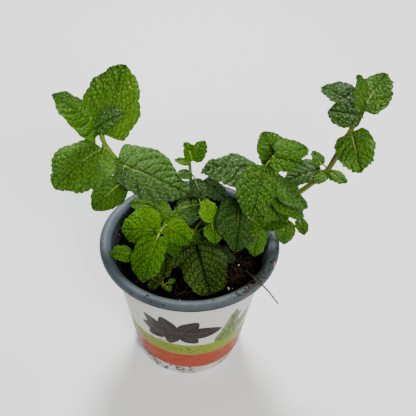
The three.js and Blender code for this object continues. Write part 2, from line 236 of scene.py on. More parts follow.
def speckle(tree, where, scale, amount, seed=0.0):
    """Small scattered spots: 1 on a spot, 0 elsewhere. amount is about their share."""
    moved = node(tree, "ShaderNodeMapping", {"Vector": where, "Location": (seed, seed * 0.7, -seed)})
    moved = moved.outputs[0]
    cells = node(tree, "ShaderNodeTexVoronoi", {"Vector": moved, "Scale": scale, "Randomness": 1.0})
    picked = node(tree, "ShaderNodeTexWhiteNoise", {"Vector": cells.outputs["Position"]}).outputs["Value"]
    chosen = calc(tree, "LESS_THAN", picked, amount)
    near = ramp(tree, cells.outputs["Distance"], 0.42, 0.24)
    return calc(tree, "MULTIPLY", chosen, near, clamp=True)


# slate grey sheet: the rim, its skirt and the inside, which is duller and painted darker,
# as painted shade. The sheet is also painted lighter towards the left and the right, as
# painted highlight; pale dust lies on both sides of it, and brown earth is smudged at the front right.
SMUDGE_AT = (0.041, -0.043, 0.0985)
grey_sheet, tree, shader = finish("slate_grey_sheet")
place = place_on(tree)
axes = node(tree, "ShaderNodeSeparateXYZ", {0: place})
level = axes.outputs["Z"]
cloudy = grains(tree, place, 42, 3)
fine = grains(tree, place, 900, 3)
grey = mix(tree, ramp(tree, cloudy, 0.35, 0.7), (0.031, 0.040, 0.045, 1), (0.046, 0.058, 0.064, 1))
# painted shade: the sheet is darker below the rim, inside the pot
painted_shade = ramp(tree, level, 0.1004, 0.0970)
grey = mix(tree, calc(tree, "MULTIPLY", painted_shade, 0.88), grey, (0.011, 0.013, 0.014, 1))
# painted highlight: the sheet is lit up towards the left and the right
to_left, to_right = ramp(tree, axes.outputs["X"], -0.018, -0.052), ramp(tree, axes.outputs["X"], 0.0, 0.055)
painted_side_shading = mix(tree, to_left, (1.10, 1.12, 1.15, 1), (1.75, 1.82, 1.90, 1))
painted_side_shading = mix(tree, to_right, painted_side_shading, (1.55, 1.55, 1.52, 1))
grey = mix(tree, 1.0, grey, painted_side_shading, "MULTIPLY")
dust = calc(tree, "MULTIPLY", ramp(tree, grains(tree, place, 260, 5, 0.7), 0.60, 0.78), 0.35)
grey = mix(tree, dust, grey, (0.20, 0.19, 0.165, 1))
dirt = speckle(tree, place, 420, 0.05, 3.1)
grey = mix(tree, dirt, grey, (0.030, 0.020, 0.012, 1))
apart = node(tree, "ShaderNodeVectorMath", {0: place, 1: SMUDGE_AT}, operation="DISTANCE").outputs["Value"]
ragged = ramp(tree, grains(tree, place, 330, 5, 0.7), 0.42, 0.60)
smudge = calc(tree, "MULTIPLY", ramp(tree, apart, 0.013, 0.004), ragged)
grey = mix(tree, calc(tree, "MULTIPLY", smudge, 0.75), grey, (0.135, 0.098, 0.074, 1))
tree.links.new(grey, shader.inputs["Base Color"])
matt = calc(tree, "MULTIPLY_ADD", painted_shade, 0.25, ramp(tree, fine, 0.3, 0.7, 0.46, 0.60))
tree.links.new(matt, shader.inputs["Roughness"])
shader.inputs["Specular IOR Level"].default_value = 0.20
drawn = node(tree, "ShaderNodeMapping", {"Vector": place, "Scale": (1, 1, 9)}).outputs[0]
bump(tree, shader, grains(tree, drawn, 120, 3), 0.00012, 0.6)

# printed wall: white ground, an olive band over a brick red one, a sprig of dark
# leaves and a green one, and earth splashed over the foot. The print is a little
# askew on the pot.
PRINT_TILT = -0.045
WALL_MIDDLE = 0.0455  # the radius at which a turn round the wall is measured as a length
LEAF_FULLNESS = 0.62  # of a printed leaf: the lower, the rounder its ends
printed, tree, shader = finish("printed_wall")
place = place_on(tree)
axes = node(tree, "ShaderNodeSeparateXYZ", {0: place})
away = calc(tree, "MULTIPLY", axes.outputs["Y"], -1.0)
turn = calc(tree, "ARCTAN2", axes.outputs["X"], away)
across = calc(tree, "MULTIPLY", turn, WALL_MIDDLE)
level = axes.outputs["Z"]
height = calc(tree, "SUBTRACT", level, calc(tree, "MULTIPLY", axes.outputs["X"], PRINT_TILT))
cloudy = grains(tree, place, 30, 3)
white = mix(tree, cloudy, (0.485, 0.482, 0.450, 1), (0.565, 0.562, 0.530, 1))


def band(tree, value, low, high, soft=0.0003):
    """1 between two levels."""
    up = ramp(tree, value, low - soft, low + soft)
    down = ramp(tree, value, high + soft, high - soft)
    return calc(tree, "MULTIPLY", up, down)


worn = grains(tree, place, 700, 4, 0.6)
olive = mix(tree, worn, (0.150, 0.205, 0.008, 1), (0.212, 0.272, 0.018, 1))
brick = mix(tree, worn, (0.290, 0.033, 0.009, 1), (0.365, 0.048, 0.014, 1))
coat = mix(tree, band(tree, height, 0.0306, 0.0433), white, olive)
coat = mix(tree, band(tree, height, 0.0124, 0.0306), coat, brick)


def printed_leaf(tree, x, z, angle, length, width):
    """A pointed leaf in the print, and its midrib: each is 1 inside and 0 outside."""
    dx = calc(tree, "SUBTRACT", across, x)
    dz = calc(tree, "SUBTRACT", height, z)
    c, s = math.cos(angle), math.sin(angle)
    along = calc(tree, "ADD", calc(tree, "MULTIPLY", dx, c / length), calc(tree, "MULTIPLY", dz, s / length))
    side = calc(tree, "ADD", calc(tree, "MULTIPLY", dx, -s / width), calc(tree, "MULTIPLY", dz, c / width))
    side = calc(tree, "ABSOLUTE", side)
    along = calc(tree, "SUBTRACT", calc(tree, "MULTIPLY", along, 2.0), 1.0)
    room = calc(tree, "MAXIMUM", calc(tree, "SUBTRACT", 1.0, calc(tree, "MULTIPLY", along, along)), 0.0)
    room = calc(tree, "SUBTRACT", calc(tree, "POWER", room, LEAF_FULLNESS), 0.02)
    room = calc(tree, "MULTIPLY", room, ramp(tree, along, -1.0, 1.0, 1.20, 0.75))
    leaf = ramp(tree, calc(tree, "SUBTRACT", room, calc(tree, "MULTIPLY", side, 2.0)), 0.0, 0.08)
    return leaf, calc(tree, "MULTIPLY", ramp(tree, side, 0.10, 0.02), leaf)


def printed_sprig(tree, leaves):
    """The leaves of a printed sprig as one shape, and their midribs."""
    shape = ribs = None
    for x, z, angle, length, width in leaves:
        leaf, rib = printed_leaf(tree, x, z, angle, length, width)
        shape = leaf if shape is None else calc(tree, "MAXIMUM", shape, leaf)
        ribs = rib if ribs is None else calc(tree, "MAXIMUM", ribs, rib)
    return shape, ribs


shape, ribs = printed_sprig(tree, [  # across and height of the leaf's foot, angle, length, width
    (-0.0200, 0.0560, 2.95, 0.0130, 0.0105), (-0.0170, 0.0562, 2.30, 0.0190, 0.0120),
    (-0.0165, 0.0560, -2.50, 0.0150, 0.0115), (-0.0105, 0.0572, 1.95, 0.0190, 0.0130),
    (-0.0100, 0.0570, -1.80, 0.0140, 0.0115), (-0.0050, 0.0580, 0.95, 0.0190, 0.0140),
    (-0.0050, 0.0576, -0.75, 0.0165, 0.0125), (-0.0010, 0.0583, 0.08, 0.0240, 0.0145),
    (-0.0215, 0.0555, 0.11, 0.0300, 0.0060), (-0.0150, 0.0568, 0.05, 0.0150, 0.0085),
    (-0.0112, 0.0592, 0.0, 0.0070, 0.0070),
])
slanted = node(tree, "ShaderNodeMapping", {"Vector": place, "Rotation": (0.4, 0.9, 0.2), "Scale": (1, 1, 4)})
hatch = ramp(tree, grains(tree, slanted.outputs[0], 420, 3), 0.36, 0.66)
dark_leaf = mix(tree, hatch, (0.004, 0.003, 0.0025, 1), (0.034, 0.023, 0.018, 1))
dark_leaf = mix(tree, calc(tree, "MULTIPLY", ribs, 0.5), dark_leaf, (0.060, 0.024, 0.026, 1))
coat = mix(tree, shape, coat, dark_leaf)

shape, ribs = printed_sprig(tree, [
    (0.0190, 0.0450, 0.62, 0.0230, 0.0105), (0.0240, 0.0480, 1.05, 0.0260, 0.0110),
    (0.0290, 0.0470, 1.45, 0.0290, 0.0120), (0.0330, 0.0450, 0.85, 0.0240, 0.0120),
    (0.0190, 0.0440, 0.12, 0.0260, 0.0080), (0.0350, 0.0470, 1.80, 0.0260, 0.0110),
])
pale_leaf = mix(tree, hatch, (0.050, 0.080, 0.012, 1), (0.215, 0.300, 0.060, 1))
pale_leaf = mix(tree, ribs, pale_leaf, (0.05, 0.08, 0.02, 1))
coat = mix(tree, shape, coat, pale_leaf)

# earth: fine specks on the bands, most of them at the left, and dark smears over a grey
# foot. The left side of the wall is painted darker and duller, as painted shade.
splash = calc(tree, "MULTIPLY_ADD", axes.outputs["X"], -5.5, grains(tree, place, 38, 2))
splash = ramp(tree, splash, 0.33, 0.60)
specks = calc(tree, "MAXIMUM", speckle(tree, place, 480, 0.26, 1.7), speckle(tree, place, 820, 0.26, 4.2))
specks = calc(tree, "MULTIPLY", specks, calc(tree, "MULTIPLY", ramp(tree, level, 0.070, 0.034), splash))
few = speckle(tree, place, 260, 0.035, 8.3)
specks = calc(tree, "MAXIMUM", specks, calc(tree, "MULTIPLY", few, 0.7))
coat = mix(tree, calc(tree, "MULTIPLY", specks, 0.92), coat, (0.022, 0.016, 0.010, 1))
# painted shade: the left side of the wall is darkened
painted_side_shading = calc(tree, "MULTIPLY", ramp(tree, axes.outputs["X"], -0.018, -0.050), 0.45)
coat = mix(tree, painted_side_shading, coat, mix(tree, 1.0, coat, (0.62, 0.62, 0.50, 1), "MULTIPLY"))
foot = ramp(tree, height, 0.0127, 0.0119)
smear = calc(tree, "MULTIPLY_ADD", axes.outputs["X"], -0.7, grains(tree, place, 120, 6, 0.72, 0.5))
smear = ramp(tree, smear, 0.51, 0.59)
clouds = ramp(tree, grains(tree, place, 45, 3), 0.4, 0.6)
grimy = mix(tree, clouds, (0.60, 0.59, 0.55, 1), (0.44, 0.43, 0.39, 1))
grimy = mix(tree, smear, grimy, (0.030, 0.027, 0.021, 1))
coat = mix(tree, foot, coat, grimy)
edge_dirt = calc(tree, "MULTIPLY", band(tree, level, 0.0085, 0.0118, 0.001), smear)
coat = mix(tree, calc(tree, "MULTIPLY", edge_dirt, 0.9), coat, (0.020, 0.018, 0.014, 1))
tree.links.new(coat, shader.inputs["Base Color"])
tree.links.new(ramp(tree, grains(tree, place, 160, 4), 0.3, 0.7, 0.36, 0.52), shader.inputs["Roughness"])
shader.inputs["Specular IOR Level"].default_value = 0.17
uneven = bump(tree, shader, grains(tree, place, 55, 2), 0.0006, 0.5)
bump(tree, shader, specks, 0.00025, 0.6, uneven)

# the print is on the faces of the wall and the foot that look outwards, below the rim
FOOT_EDGE = 0.0352
pot.data.materials.clear()
pot.data.materials.append(grey_sheet)
pot.data.materials.append(printed)
for face in pot.data.polygons:
    middle = face.center
    radius = math.hypot(middle.x, middle.y)
    outwards = (face.normal.x * middle.x + face.normal.y * middle.y) / radius
    on_wall = radius < WALL_AT_RIM + 0.0008 and middle.z < RIM_LEVEL - 0.0002
    face.material_index = 1 if outwards > 0.4 and on_wall and middle.length > FOOT_EDGE else 0
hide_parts("pot")
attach(pot, "root")


# ---------------------------------------------------------------------------
# The soil: damp peat, nearly black, crumbled on top. Loose crumbs, fine fibres and a
# few white grains of perlite lie on it. It is filled in to a little below the rim.
# ---------------------------------------------------------------------------

SOIL_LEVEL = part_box("soil")[1][2] - 0.0007
SOIL_GAP = WALL + 0.0003  # from the outside of the wall to the soil
FOOT_LEVEL, SOIL_BOTTOM, BOTTOM_RADIUS = 0.012, 0.004, 0.0340
rng = random.Random(11)


def soil_height(x, y):
    """The level of the soil's crumbled top."""
    coarse = noise.fractal(Vector((x * 70, y * 70, 0.3)), 1.0, 2.0, 2)
    crumbs = noise.fractal(Vector((x * 260, y * 260, 4.1)), 0.8, 2.1, 3)
    edge = max(0.0, math.hypot(x, y) - 0.044) / 0.006
    return SOIL_LEVEL + 0.0009 * coarse + 0.0012 * crumbs + 0.0012 * edge


bpy.ops.object.select_all(action="DESELECT")
bpy.ops.mesh.primitive_grid_add(x_subdivisions=170, y_subdivisions=170, size=2)
soil = bpy.context.object
soil.name = "potting_soil"
top_radius = wall_radius(SOIL_LEVEL) - SOIL_GAP
for vertex in soil.data.vertices:
    u, v = vertex.co.x, vertex.co.y
    x = top_radius * u * math.sqrt(1 - v * v / 2)
    y = top_radius * v * math.sqrt(1 - u * u / 2)
    vertex.co = (x, y, soil_height(x, y))
bpy.ops.object.mode_set(mode="EDIT")
bpy.ops.mesh.select_all(action="DESELECT")
bpy.ops.mesh.select_mode(type="EDGE")
bpy.ops.mesh.select_non_manifold()
foot_radius = wall_radius(FOOT_LEVEL) - SOIL_GAP
narrow = foot_radius / top_radius
bpy.ops.mesh.extrude_edges_move(TRANSFORM_OT_translate={"value": (0, 0, FOOT_LEVEL - SOIL_LEVEL)})
bpy.ops.transform.resize(value=(narrow, narrow, 0), center_override=(0, 0, FOOT_LEVEL))
narrow = BOTTOM_RADIUS / foot_radius
bpy.ops.mesh.extrude_edges_move(TRANSFORM_OT_translate={"value": (0, 0, SOIL_BOTTOM - FOOT_LEVEL)})
bpy.ops.transform.resize(value=(narrow, narrow, 1), center_override=(0, 0, 0))
bpy.ops.mesh.edge_face_add()
bpy.ops.mesh.poke()
bpy.ops.mesh.select_all(action="SELECT")
bpy.ops.mesh.normals_make_consistent(inside=False)
bpy.ops.object.mode_set(mode="OBJECT")
# steep crumbs at the edge can mislead that step, so the flat bottom shows which way is out
bottom = min(soil.data.polygons, key=lambda face: face.center.z)
if bottom.normal.z > 0:
    soil.data.flip_normals()
bpy.ops.object.shade_smooth()

peat, tree, shader = finish("damp_peat")
place = place_on(tree)
patches = ramp(tree, grains(tree, place, 160, 5, 0.62), 0.42, 0.68)
earth = mix(tree, patches, (0.0010, 0.0008, 0.0007, 1), (0.0055, 0.0036, 0.0024, 1))
clods = node(tree, "ShaderNodeTexVoronoi", {"Vector": place, "Scale": 900}, feature="DISTANCE_TO_EDGE")
pale = calc(tree, "MULTIPLY", ramp(tree, grains(tree, place, 520, 4, 0.7), 0.64, 0.74), 0.55)
earth = mix(tree, pale, earth, (0.022, 0.013, 0.007, 1))
tree.links.new(earth, shader.inputs["Base Color"])
tree.links.new(ramp(tree, patches, 0, 1, 0.62, 0.95), shader.inputs["Roughness"])
shader.inputs["Specular IOR Level"].default_value = 0.02
lumpy = bump(tree, shader, grains(tree, place, 700, 6, 0.75), 0.0011, 0.9)
bump(tree, shader, clods.outputs[0], 0.0004, 0.6, lumpy)
soil.data.materials.clear()
soil.data.materials.append(peat)
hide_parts("soil")
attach(soil, "root")


def gather(name, parts):
    """Builds one piece from (vertices, faces, tone) parts; tone is kept as an attribute."""
    corners, faces, tones = [], [], []
    for part_corners, part_faces, tone in parts:
        start = len(corners)
        corners += [tuple(c) for c in part_corners]
        faces += [tuple(i + start for i in face) for face in part_faces]
        tones += [tone] * len(part_corners)
    mesh = bpy.data.meshes.new(name)
    mesh.from_pydata(corners, [], faces)
    mesh.update()
    mesh.attributes.new("tone", "FLOAT", "POINT").data.foreach_set("value", tones)
    piece = bpy.data.objects.new(name, mesh)
    bpy.context.collection.objects.link(piece)
    for face in mesh.polygons:
        face.use_smooth = True
    return piece


def crumb(centre, size, seed):
    """The corners and faces of one lumpy grain of twenty faces."""
    ball = bmesh.new()
    bmesh.ops.create_icosphere(ball, subdivisions=1, radius=1)
    squash = (rng.uniform(0.7, 1.3), rng.uniform(0.7, 1.3), rng.uniform(0.5, 0.9))
    turned = Euler((rng.uniform(0, 6), rng.uniform(0, 6), rng.uniform(0, 6))).to_matrix()
    corners = []
    for vertex in ball.verts:
        lump = 1 + 0.35 * noise.noise(vertex.co * 1.7 + Vector((seed, 0, 0)))
        pressed = Vector([c * s * lump for c, s in zip(vertex.co, squash)])
        corners.append(Vector(centre) + turned @ pressed * size)
    faces = [[v.index for v in face.verts] for face in ball.faces]
    ball.free()
    return corners, faces


def tube(points, radii, sides=6, turn=0.0, square=0.0):
    """The corners and faces of a closed tube along points, with a radius at each. square
    pushes four edges out of its round section."""
    points = [Vector(p) for p in points]
    corners, faces = [], []
    side = None
    for i, point in enumerate(points):
        ahead = (points[min(i + 1, len(points) - 1)] - points[max(i - 1, 0)]).normalized()
        if side is None:
            side = ahead.orthogonal().normalized()
        side = (side - ahead * side.dot(ahead)).normalized()
        other = ahead.cross(side)
        for k in range(sides):
            a = math.tau * k / sides + turn
            reach = radii[i] * (1 + square * math.cos(4 * (a - turn)))
            corners.append(point + (side * math.cos(a) + other * math.sin(a)) * reach)
    rows = len(points)
    for i in range(rows - 1):
        for k in range(sides):
            n = (k + 1) % sides
            faces.append((i * sides + k, i * sides + n, (i + 1) * sides + n, (i + 1) * sides + k))
    faces.append(tuple(reversed(range(sides))))
    faces.append(tuple((rows - 1) * sides + k for k in range(sides)))
    return corners, faces


CRUMBS, CRUMBS_WITHIN = 900, 0.0475
grains_of_peat = []
while len(grains_of_peat) < CRUMBS:
    x, y = rng.uniform(-0.05, 0.05), rng.uniform(-0.05, 0.05)
    if math.hypot(x, y) > CRUMBS_WITHIN:
        continue
    size = rng.choice((0.0004, 0.0006, 0.0006, 0.0009, 0.0013))
    corners, faces = crumb((x, y, soil_height(x, y) + size * 0.4), size, len(grains_of_peat))
    grains_of_peat.append((corners, faces, rng.random()))
crumbs = gather("peat_crumbs", grains_of_peat)

crumb_skin, tree, shader = finish("peat_crumb")
tone = kept(tree, "tone")
place = place_on(tree)
shade = mix(tree, ramp(tree, tone, 0.3, 1.0), (0.0010, 0.0008, 0.0007, 1), (0.012, 0.007, 0.004, 1))
shade = mix(tree, ramp(tree, grains(tree, place, 1400, 3), 0.4, 0.7), shade, (0.0035, 0.0025, 0.0018, 1))
tree.links.new(shade, shader.inputs["Base Color"])
tree.links.new(ramp(tree, tone, 0, 1, 0.75, 0.98), shader.inputs["Roughness"])
shader.inputs["Specular IOR Level"].default_value = 0.03
bump(tree, shader, grains(tree, place, 2600, 4, 0.7), 0.0003, 0.8)
crumbs.data.materials.append(crumb_skin)
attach(crumbs, "root")

# fibres lie all over the soil, and most of them in a tuft at the front right
FIBRES, FIBRE_STEPS, START_WITHIN, END_WITHIN = 300, 6, 0.0455, 0.048
TUFT_SHARE, TUFT_AT, TUFT_SPREAD = 0.72, (0.031, -0.021), (0.006, 0.008)
threads = []
while len(threads) < FIBRES:
    in_tuft = rng.random() < TUFT_SHARE
    x = rng.gauss(TUFT_AT[0], TUFT_SPREAD[0]) if in_tuft else rng.uniform(-0.046, 0.046)
    y = rng.gauss(TUFT_AT[1], TUFT_SPREAD[1]) if in_tuft else rng.uniform(-0.046, 0.046)
    if math.hypot(x, y) > START_WITHIN:
        continue
    heading, bend = rng.uniform(0, math.tau), rng.uniform(-220, 220)
    length = rng.uniform(0.004, 0.015)
    thick = rng.choice((0.00010, 0.00014, 0.00020))
    points, radii = [], []
    step = length / FIBRE_STEPS
    for i in range(FIBRE_STEPS + 1):
        loft = 0.0004 + 0.0016 * math.sin(i / FIBRE_STEPS * math.pi) * rng.random()
        points.append((x, y, soil_height(x, y) + loft))
        radii.append(thick * (1 - 0.1 * i))
        x, y = x + step * math.cos(heading), y + step * math.sin(heading)
        heading += bend * step
    if math.hypot(x, y) > END_WITHIN:
        continue
    threads.append((*tube(points, radii, 4), rng.random()))
fibres = gather("peat_fibres", threads)

fibre_skin, tree, shader = finish("peat_fibre")
tone = kept(tree, "tone")
place = place_on(tree)
shade = mix(tree, ramp(tree, tone, 0.3, 1.0), (0.004, 0.0022, 0.001, 1), (0.100, 0.056, 0.026, 1))
shade = mix(tree, ramp(tree, grains(tree, place, 900, 3), 0.4, 0.7), shade, (0.010, 0.0055, 0.003, 1))
shade = mix(tree, ramp(tree, tone, 1.2, 2.0), shade, (0.400, 0.290, 0.170, 1))
tree.links.new(shade, shader.inputs["Base Color"])
shader.inputs["Roughness"].default_value = 0.8
shader.inputs["Specular IOR Level"].default_value = 0.10
bump(tree, shader, grains(tree, place, 3000, 2), 0.0001, 0.6)
fibres.data.materials.append(fibre_skin)
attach(fibres, "root")

# perlite lies on the soil
bits = []
for x, y, size in ((0.0257, -0.0318, 0.0012), (0.0282, -0.0300, 0.0007), (-0.0060, -0.0420, 0.0006),
                   (0.0330, -0.0100, 0.0006), (-0.0350, -0.0260, 0.0005)):
    corners, faces = crumb((x, y, soil_height(x, y) + size * 0.7), size, x * 900)
    bits.append((corners, faces, 1.0))
perlite = gather("perlite_grains", bits)
perlite_skin, tree, shader = finish("perlite")
place = place_on(tree)
tree.links.new(mix(tree, grains(tree, place, 1500, 3), (0.55, 0.52, 0.45, 1), (0.85, 0.83, 0.78, 1)),
               shader.inputs["Base Color"])
shader.inputs["Roughness"].default_value = 0.85
bump(tree, shader, grains(tree, place, 2600, 4), 0.0004, 0.8)
perlite.data.materials.append(perlite_skin)
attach(perlite, "root")

# peat, a sliver of straw and short fibres are caught on the rim, and more peat sticks
# to the inside of the wall at the left
RIM_TOP, RIM_INSIDE, RIM_OUTSIDE = 0.1020, 0.0545, 0.0592
RIM_CRUMBS, RIM_HAIRS, WALL_CRUMBS = 46, 9, 26
bits = []
for x, y, z, size, tone in ((0.0454, -0.0317, 0.1005, 0.0016, 0.9), (0.0470, -0.0300, 0.1012, 0.0011, 0.5),
                            (0.0440, -0.0335, 0.0998, 0.0010, 0.3), (0.0356, -0.0466, 0.1022, 0.0008, 0.8),
                            (0.0340, -0.0470, 0.1022, 0.0005, 0.2), (0.0378, -0.0440, 0.1023, 0.0006, 0.6),
                            (0.0550, -0.0190, 0.1022, 0.0009, 0.7), (0.0300, -0.0500, 0.1021, 0.0004, 0.4),
                            (-0.0270, -0.0515, 0.1020, 0.0004, 0.3), (0.0530, -0.0210, 0.1020, 0.0007, 0.1)):
    corners, faces = crumb((x, y, z), size, x * 700)
    bits.append((corners, faces, tone))
for i in range(RIM_CRUMBS):
    angle = math.radians(rng.gauss(-48, 9) if i % 4 else rng.uniform(-130, -15))
    radius = rng.uniform(RIM_INSIDE, RIM_OUTSIDE)
    size = rng.choice((0.0003, 0.0004, 0.0006, 0.0009))
    corners, faces = crumb((radius * math.cos(angle), radius * math.sin(angle), RIM_TOP), size, i * 3.3)
    bits.append((corners, faces, rng.uniform(0.2, 1.0)))
straw = [(0.0545, -0.0250, 0.1021), (0.0549, -0.0225, 0.1024), (0.0551, -0.0190, 0.1022)]
bits.append((*tube(straw, [0.0005, 0.0008, 0.0004], 5), 2.2))
for i in range(RIM_HAIRS):
    x, y = rng.gauss(0.044, 0.003), rng.gauss(-0.034, 0.003)
    heading = rng.uniform(0, math.tau)
    hair = []
    for k in range(4):
        reach, way = 0.0022 * k, heading + k * 0.3
        hair_x, hair_y = x + reach * math.cos(way), y + reach * math.sin(way)
        past_rim = max(0.0, RIM_INSIDE - math.hypot(hair_x, hair_y))
        hair.append((hair_x, hair_y, RIM_TOP + 0.0004 - past_rim * 1.1))
    bits.append((*tube(hair, [0.00018, 0.00016, 0.00014, 0.0001], 4), 0.4 + 0.5 * rng.random()))
for i in range(WALL_CRUMBS):
    angle = math.radians(rng.gauss(157, 4))
    level = rng.gauss(0.0935, 0.0018)
    radius = wall_radius(level) - WALL - 0.0004
    size = rng.choice((0.0004, 0.0006, 0.0009, 0.0013))
    corners, faces = crumb((radius * math.cos(angle), radius * math.sin(angle), level), size, i * 2.1)
    bits.append((corners, faces, rng.uniform(0.0, 0.8)))
rim_dirt = gather("rim_dirt", bits)
rim_dirt.data.materials.append(fibre_skin)
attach(rim_dirt, "root")


# ---------------------------------------------------------------------------
# The dry root: a dead brown fibre that has worked out of the soil. It climbs to the
# rim, lies over it, and ends past it in a frayed tip.
# ---------------------------------------------------------------------------

def smooth_route(points, steps):
    """Points on a smooth curve through the given ones, with the same number of steps
    between each two of them."""
    knots = [Vector(p) for p in points]
    knots = [knots[0] * 2 - knots[1]] + knots + [knots[-1] * 2 - knots[-2]]
    spans = len(knots) - 3
    found = []
    for i in range(steps + 1):
        at = min(i / steps * spans, spans - 1e-9)
        k = int(at)
        t = at - k
        a, b, c, d = knots[k:k + 4]
        gaps = [max((q - p).length, 1e-9) ** 0.5 for p, q in ((a, b), (b, c), (c, d))]
        m1 = (b - a) / gaps[0] - (c - a) / (gaps[0] + gaps[1]) + (c - b) / gaps[1]
        m2 = (c - b) / gaps[1] - (d - b) / (gaps[1] + gaps[2]) + (d - c) / gaps[2]
        m1, m2 = m1 * gaps[1], m2 * gaps[1]
        found.append(b + m1 * t + (3 * (c - b) - 2 * m1 - m2) * t ** 2 + (2 * (b - c) + m1 + m2) * t ** 3)
    return found


ROOT_RADIUS, ROOT_STEPS = 0.00070, 60
root_line = smooth_route([(0.038, -0.017, 0.0885), (0.039, -0.025, 0.095), (0.0405, -0.033, 0.101),
                          (0.042, -0.038, 0.1038), (0.046, -0.043, 0.1042), (0.050, -0.048, 0.1034),
                          (0.055, -0.055, 0.101)], ROOT_STEPS)
radii = []
for i, point in enumerate(root_line):
    knobbly = 1 + 0.22 * noise.noise(Vector((i * 0.45, 0, 0)))
    radii.append(ROOT_RADIUS * (1 - 0.38 * i / ROOT_STEPS) * knobbly)
    point.x += 0.0003 * noise.noise(Vector((i * 0.3, 2, 0)))
    point.z += 0.0003 * noise.noise(Vector((i * 0.3, 7, 0)))
parts = [(*tube(root_line, radii, 8), 0.4)]
SIDE_HAIRS = ((22, (0.5, -0.2, 0.7)), (33, (-0.7, 0.3, 0.2)), (41, (0.6, -0.5, 0.4)), (52, (0.2, -0.8, -0.3)))
for start, way in SIDE_HAIRS:
    way = Vector(way).normalized() * 0.0028
    hair = [root_line[start] + way * (k / 3) + Vector((0, 0, 0.0002 * k)) for k in range(4)]
    parts.append((*tube(hair, [0.00016, 0.00013, 0.0001, 0.00006], 4), 0.8))
dry_root = gather("dry_root_fibre", parts)
root_skin, tree, shader = finish("dry_root")
tone = kept(tree, "tone")
place = place_on(tree)
weathered = ramp(tree, grains(tree, place, 420, 4, 0.6), 0.35, 0.68)
shade = mix(tree, weathered, (0.012, 0.007, 0.004, 1), (0.120, 0.074, 0.040, 1))
shade = mix(tree, calc(tree, "MULTIPLY", tone, 0.3), shade, (0.26, 0.19, 0.12, 1))
tree.links.new(shade, shader.inputs["Base Color"])
shader.inputs["Roughness"].default_value = 0.75
bump(tree, shader, grains(tree, place, 2200, 3), 0.00015, 0.9)
dry_root.data.materials.append(root_skin)
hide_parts("dry_root")
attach(dry_root, "root")


# ---------------------------------------------------------------------------
# The stems: fleshy, rounded square in section as in all mints, a little swollen at
# each pair of leaves. Young ones are pale green, and old ones brown in patches.
# ---------------------------------------------------------------------------

# name: the radius at the foot and at the tip in millimetres, how brown the stem is, or
# how pale below 0, and the points it runs through in millimetres
STEMS = {
    "left": (1.95, 1.5, 0.15, [(-6, 20, 75), (-12, 22, 95), (-24, 22, 121), (-38, 17, 143), (-47, 15, 156),
                               (-53, 15, 167), (-56, 13, 177)]),
    "back": (1.2, 1.0, 0.1, [(1, 31, 76), (2, 31, 95), (2, 30, 120), (1, 28.5, 138), (1, 28, 146)]),
    "right": (1.9, 1.4, 0.3, [(29, 20, 76), (33, 18, 98), (39, 15, 125), (45, 12.5, 145), (49, 11, 156),
                              (51, 9, 165)]),
    "far_right": (1.95, 1.45, 0.8, [(34, 20, 76), (38, 19, 94), (52, 16, 115), (72, 13, 138), (85, 11, 156),
                                    (90, 10, 171), (94, 9, 186), (98, 9, 199)]),
    "front": (1.5, 1.4, -0.5, [(-8, 12, 78), (-10, 9, 94), (-14, 3, 106), (-17, -1, 111)]),
    "centre": (1.3, 1.0, 0.1, [(16, 9, 78), (16, 6, 96), (14.5, -2.5, 111), (14.5, -4.5, 116)]),
    "low": (1.6, 1.3, 0.4, [(-2, 14, 78), (-3, 12, 88), (-3, 10, 96), (-2, 10, 101)]),
    "inner": (1.4, 1.1, 0.2, [(43, 6, 78), (45, 3, 100), (46, 2, 112), (47, 1.5, 116)]),
    "over_rim": (1.2, 0.8, 0.3, [(42, 13, 78), (45, 12, 98), (53, 10, 112), (62, 9, 117), (68, 7.5, 117)]),
    "sprout_left": (1.1, 0.9, 0.1, [(-32, -4, 78), (-33, -6, 89), (-35, -9, 96)]),
    "sprout_front": (0.8, 0.6, 0.1, [(-18, -27, 80), (-18, -28, 86), (-17, -29, 89)]),
}

stem_skin, tree, shader = finish("mint_stem")
place = place_on(tree)
tone = kept(tree, "tone")
streaky = node(tree, "ShaderNodeMapping", {"Vector": place, "Scale": (1, 1, 0.25)}).outputs[0]
streaks = grains(tree, streaky, 650, 3)
green = mix(tree, streaks, (0.080, 0.175, 0.004, 1), (0.150, 0.255, 0.012, 1))
brown = mix(tree, streaks, (0.075, 0.092, 0.006, 1), (0.140, 0.160, 0.018, 1))
patchy = ramp(tree, calc(tree, "MULTIPLY_ADD", grains(tree, place, 130, 2), 0.5, tone), 0.45, 1.15)
shade = mix(tree, patchy, green, brown)
shade = mix(tree, ramp(tree, tone, 0.0, -0.5), shade, (0.290, 0.420, 0.085, 1))
tree.links.new(shade, shader.inputs["Base Color"])
shader.inputs["Roughness"].default_value = 0.48
shader.inputs["Specular IOR Level"].default_value = 0.25
shader.inputs["Sheen Weight"].default_value = 0.03
shader.inputs["Sheen Roughness"].default_value = 0.5
shader.inputs["Subsurface Weight"].default_value = 0.08
shader.inputs["Subsurface Radius"].default_value = (0.0012, 0.0018, 0.0006)
ridged = bump(tree, shader, streaks, 0.0002, 0.5)
bump(tree, shader, grains(tree, place, 2400, 2), 0.0001, 0.5, ridged)


def shift_to(points, low, high, least=0.0):
    """The move that puts the middle of the points' box on the middle of a node's box,
    along the axes on which that box is larger than least."""
    move = []
    for i in range(3):
        middle = (min(p[i] for p in points) + max(p[i] for p in points)) / 2
        move.append((low[i] + high[i]) / 2 - middle if high[i] - low[i] > least else 0.0)
    return Vector(move)


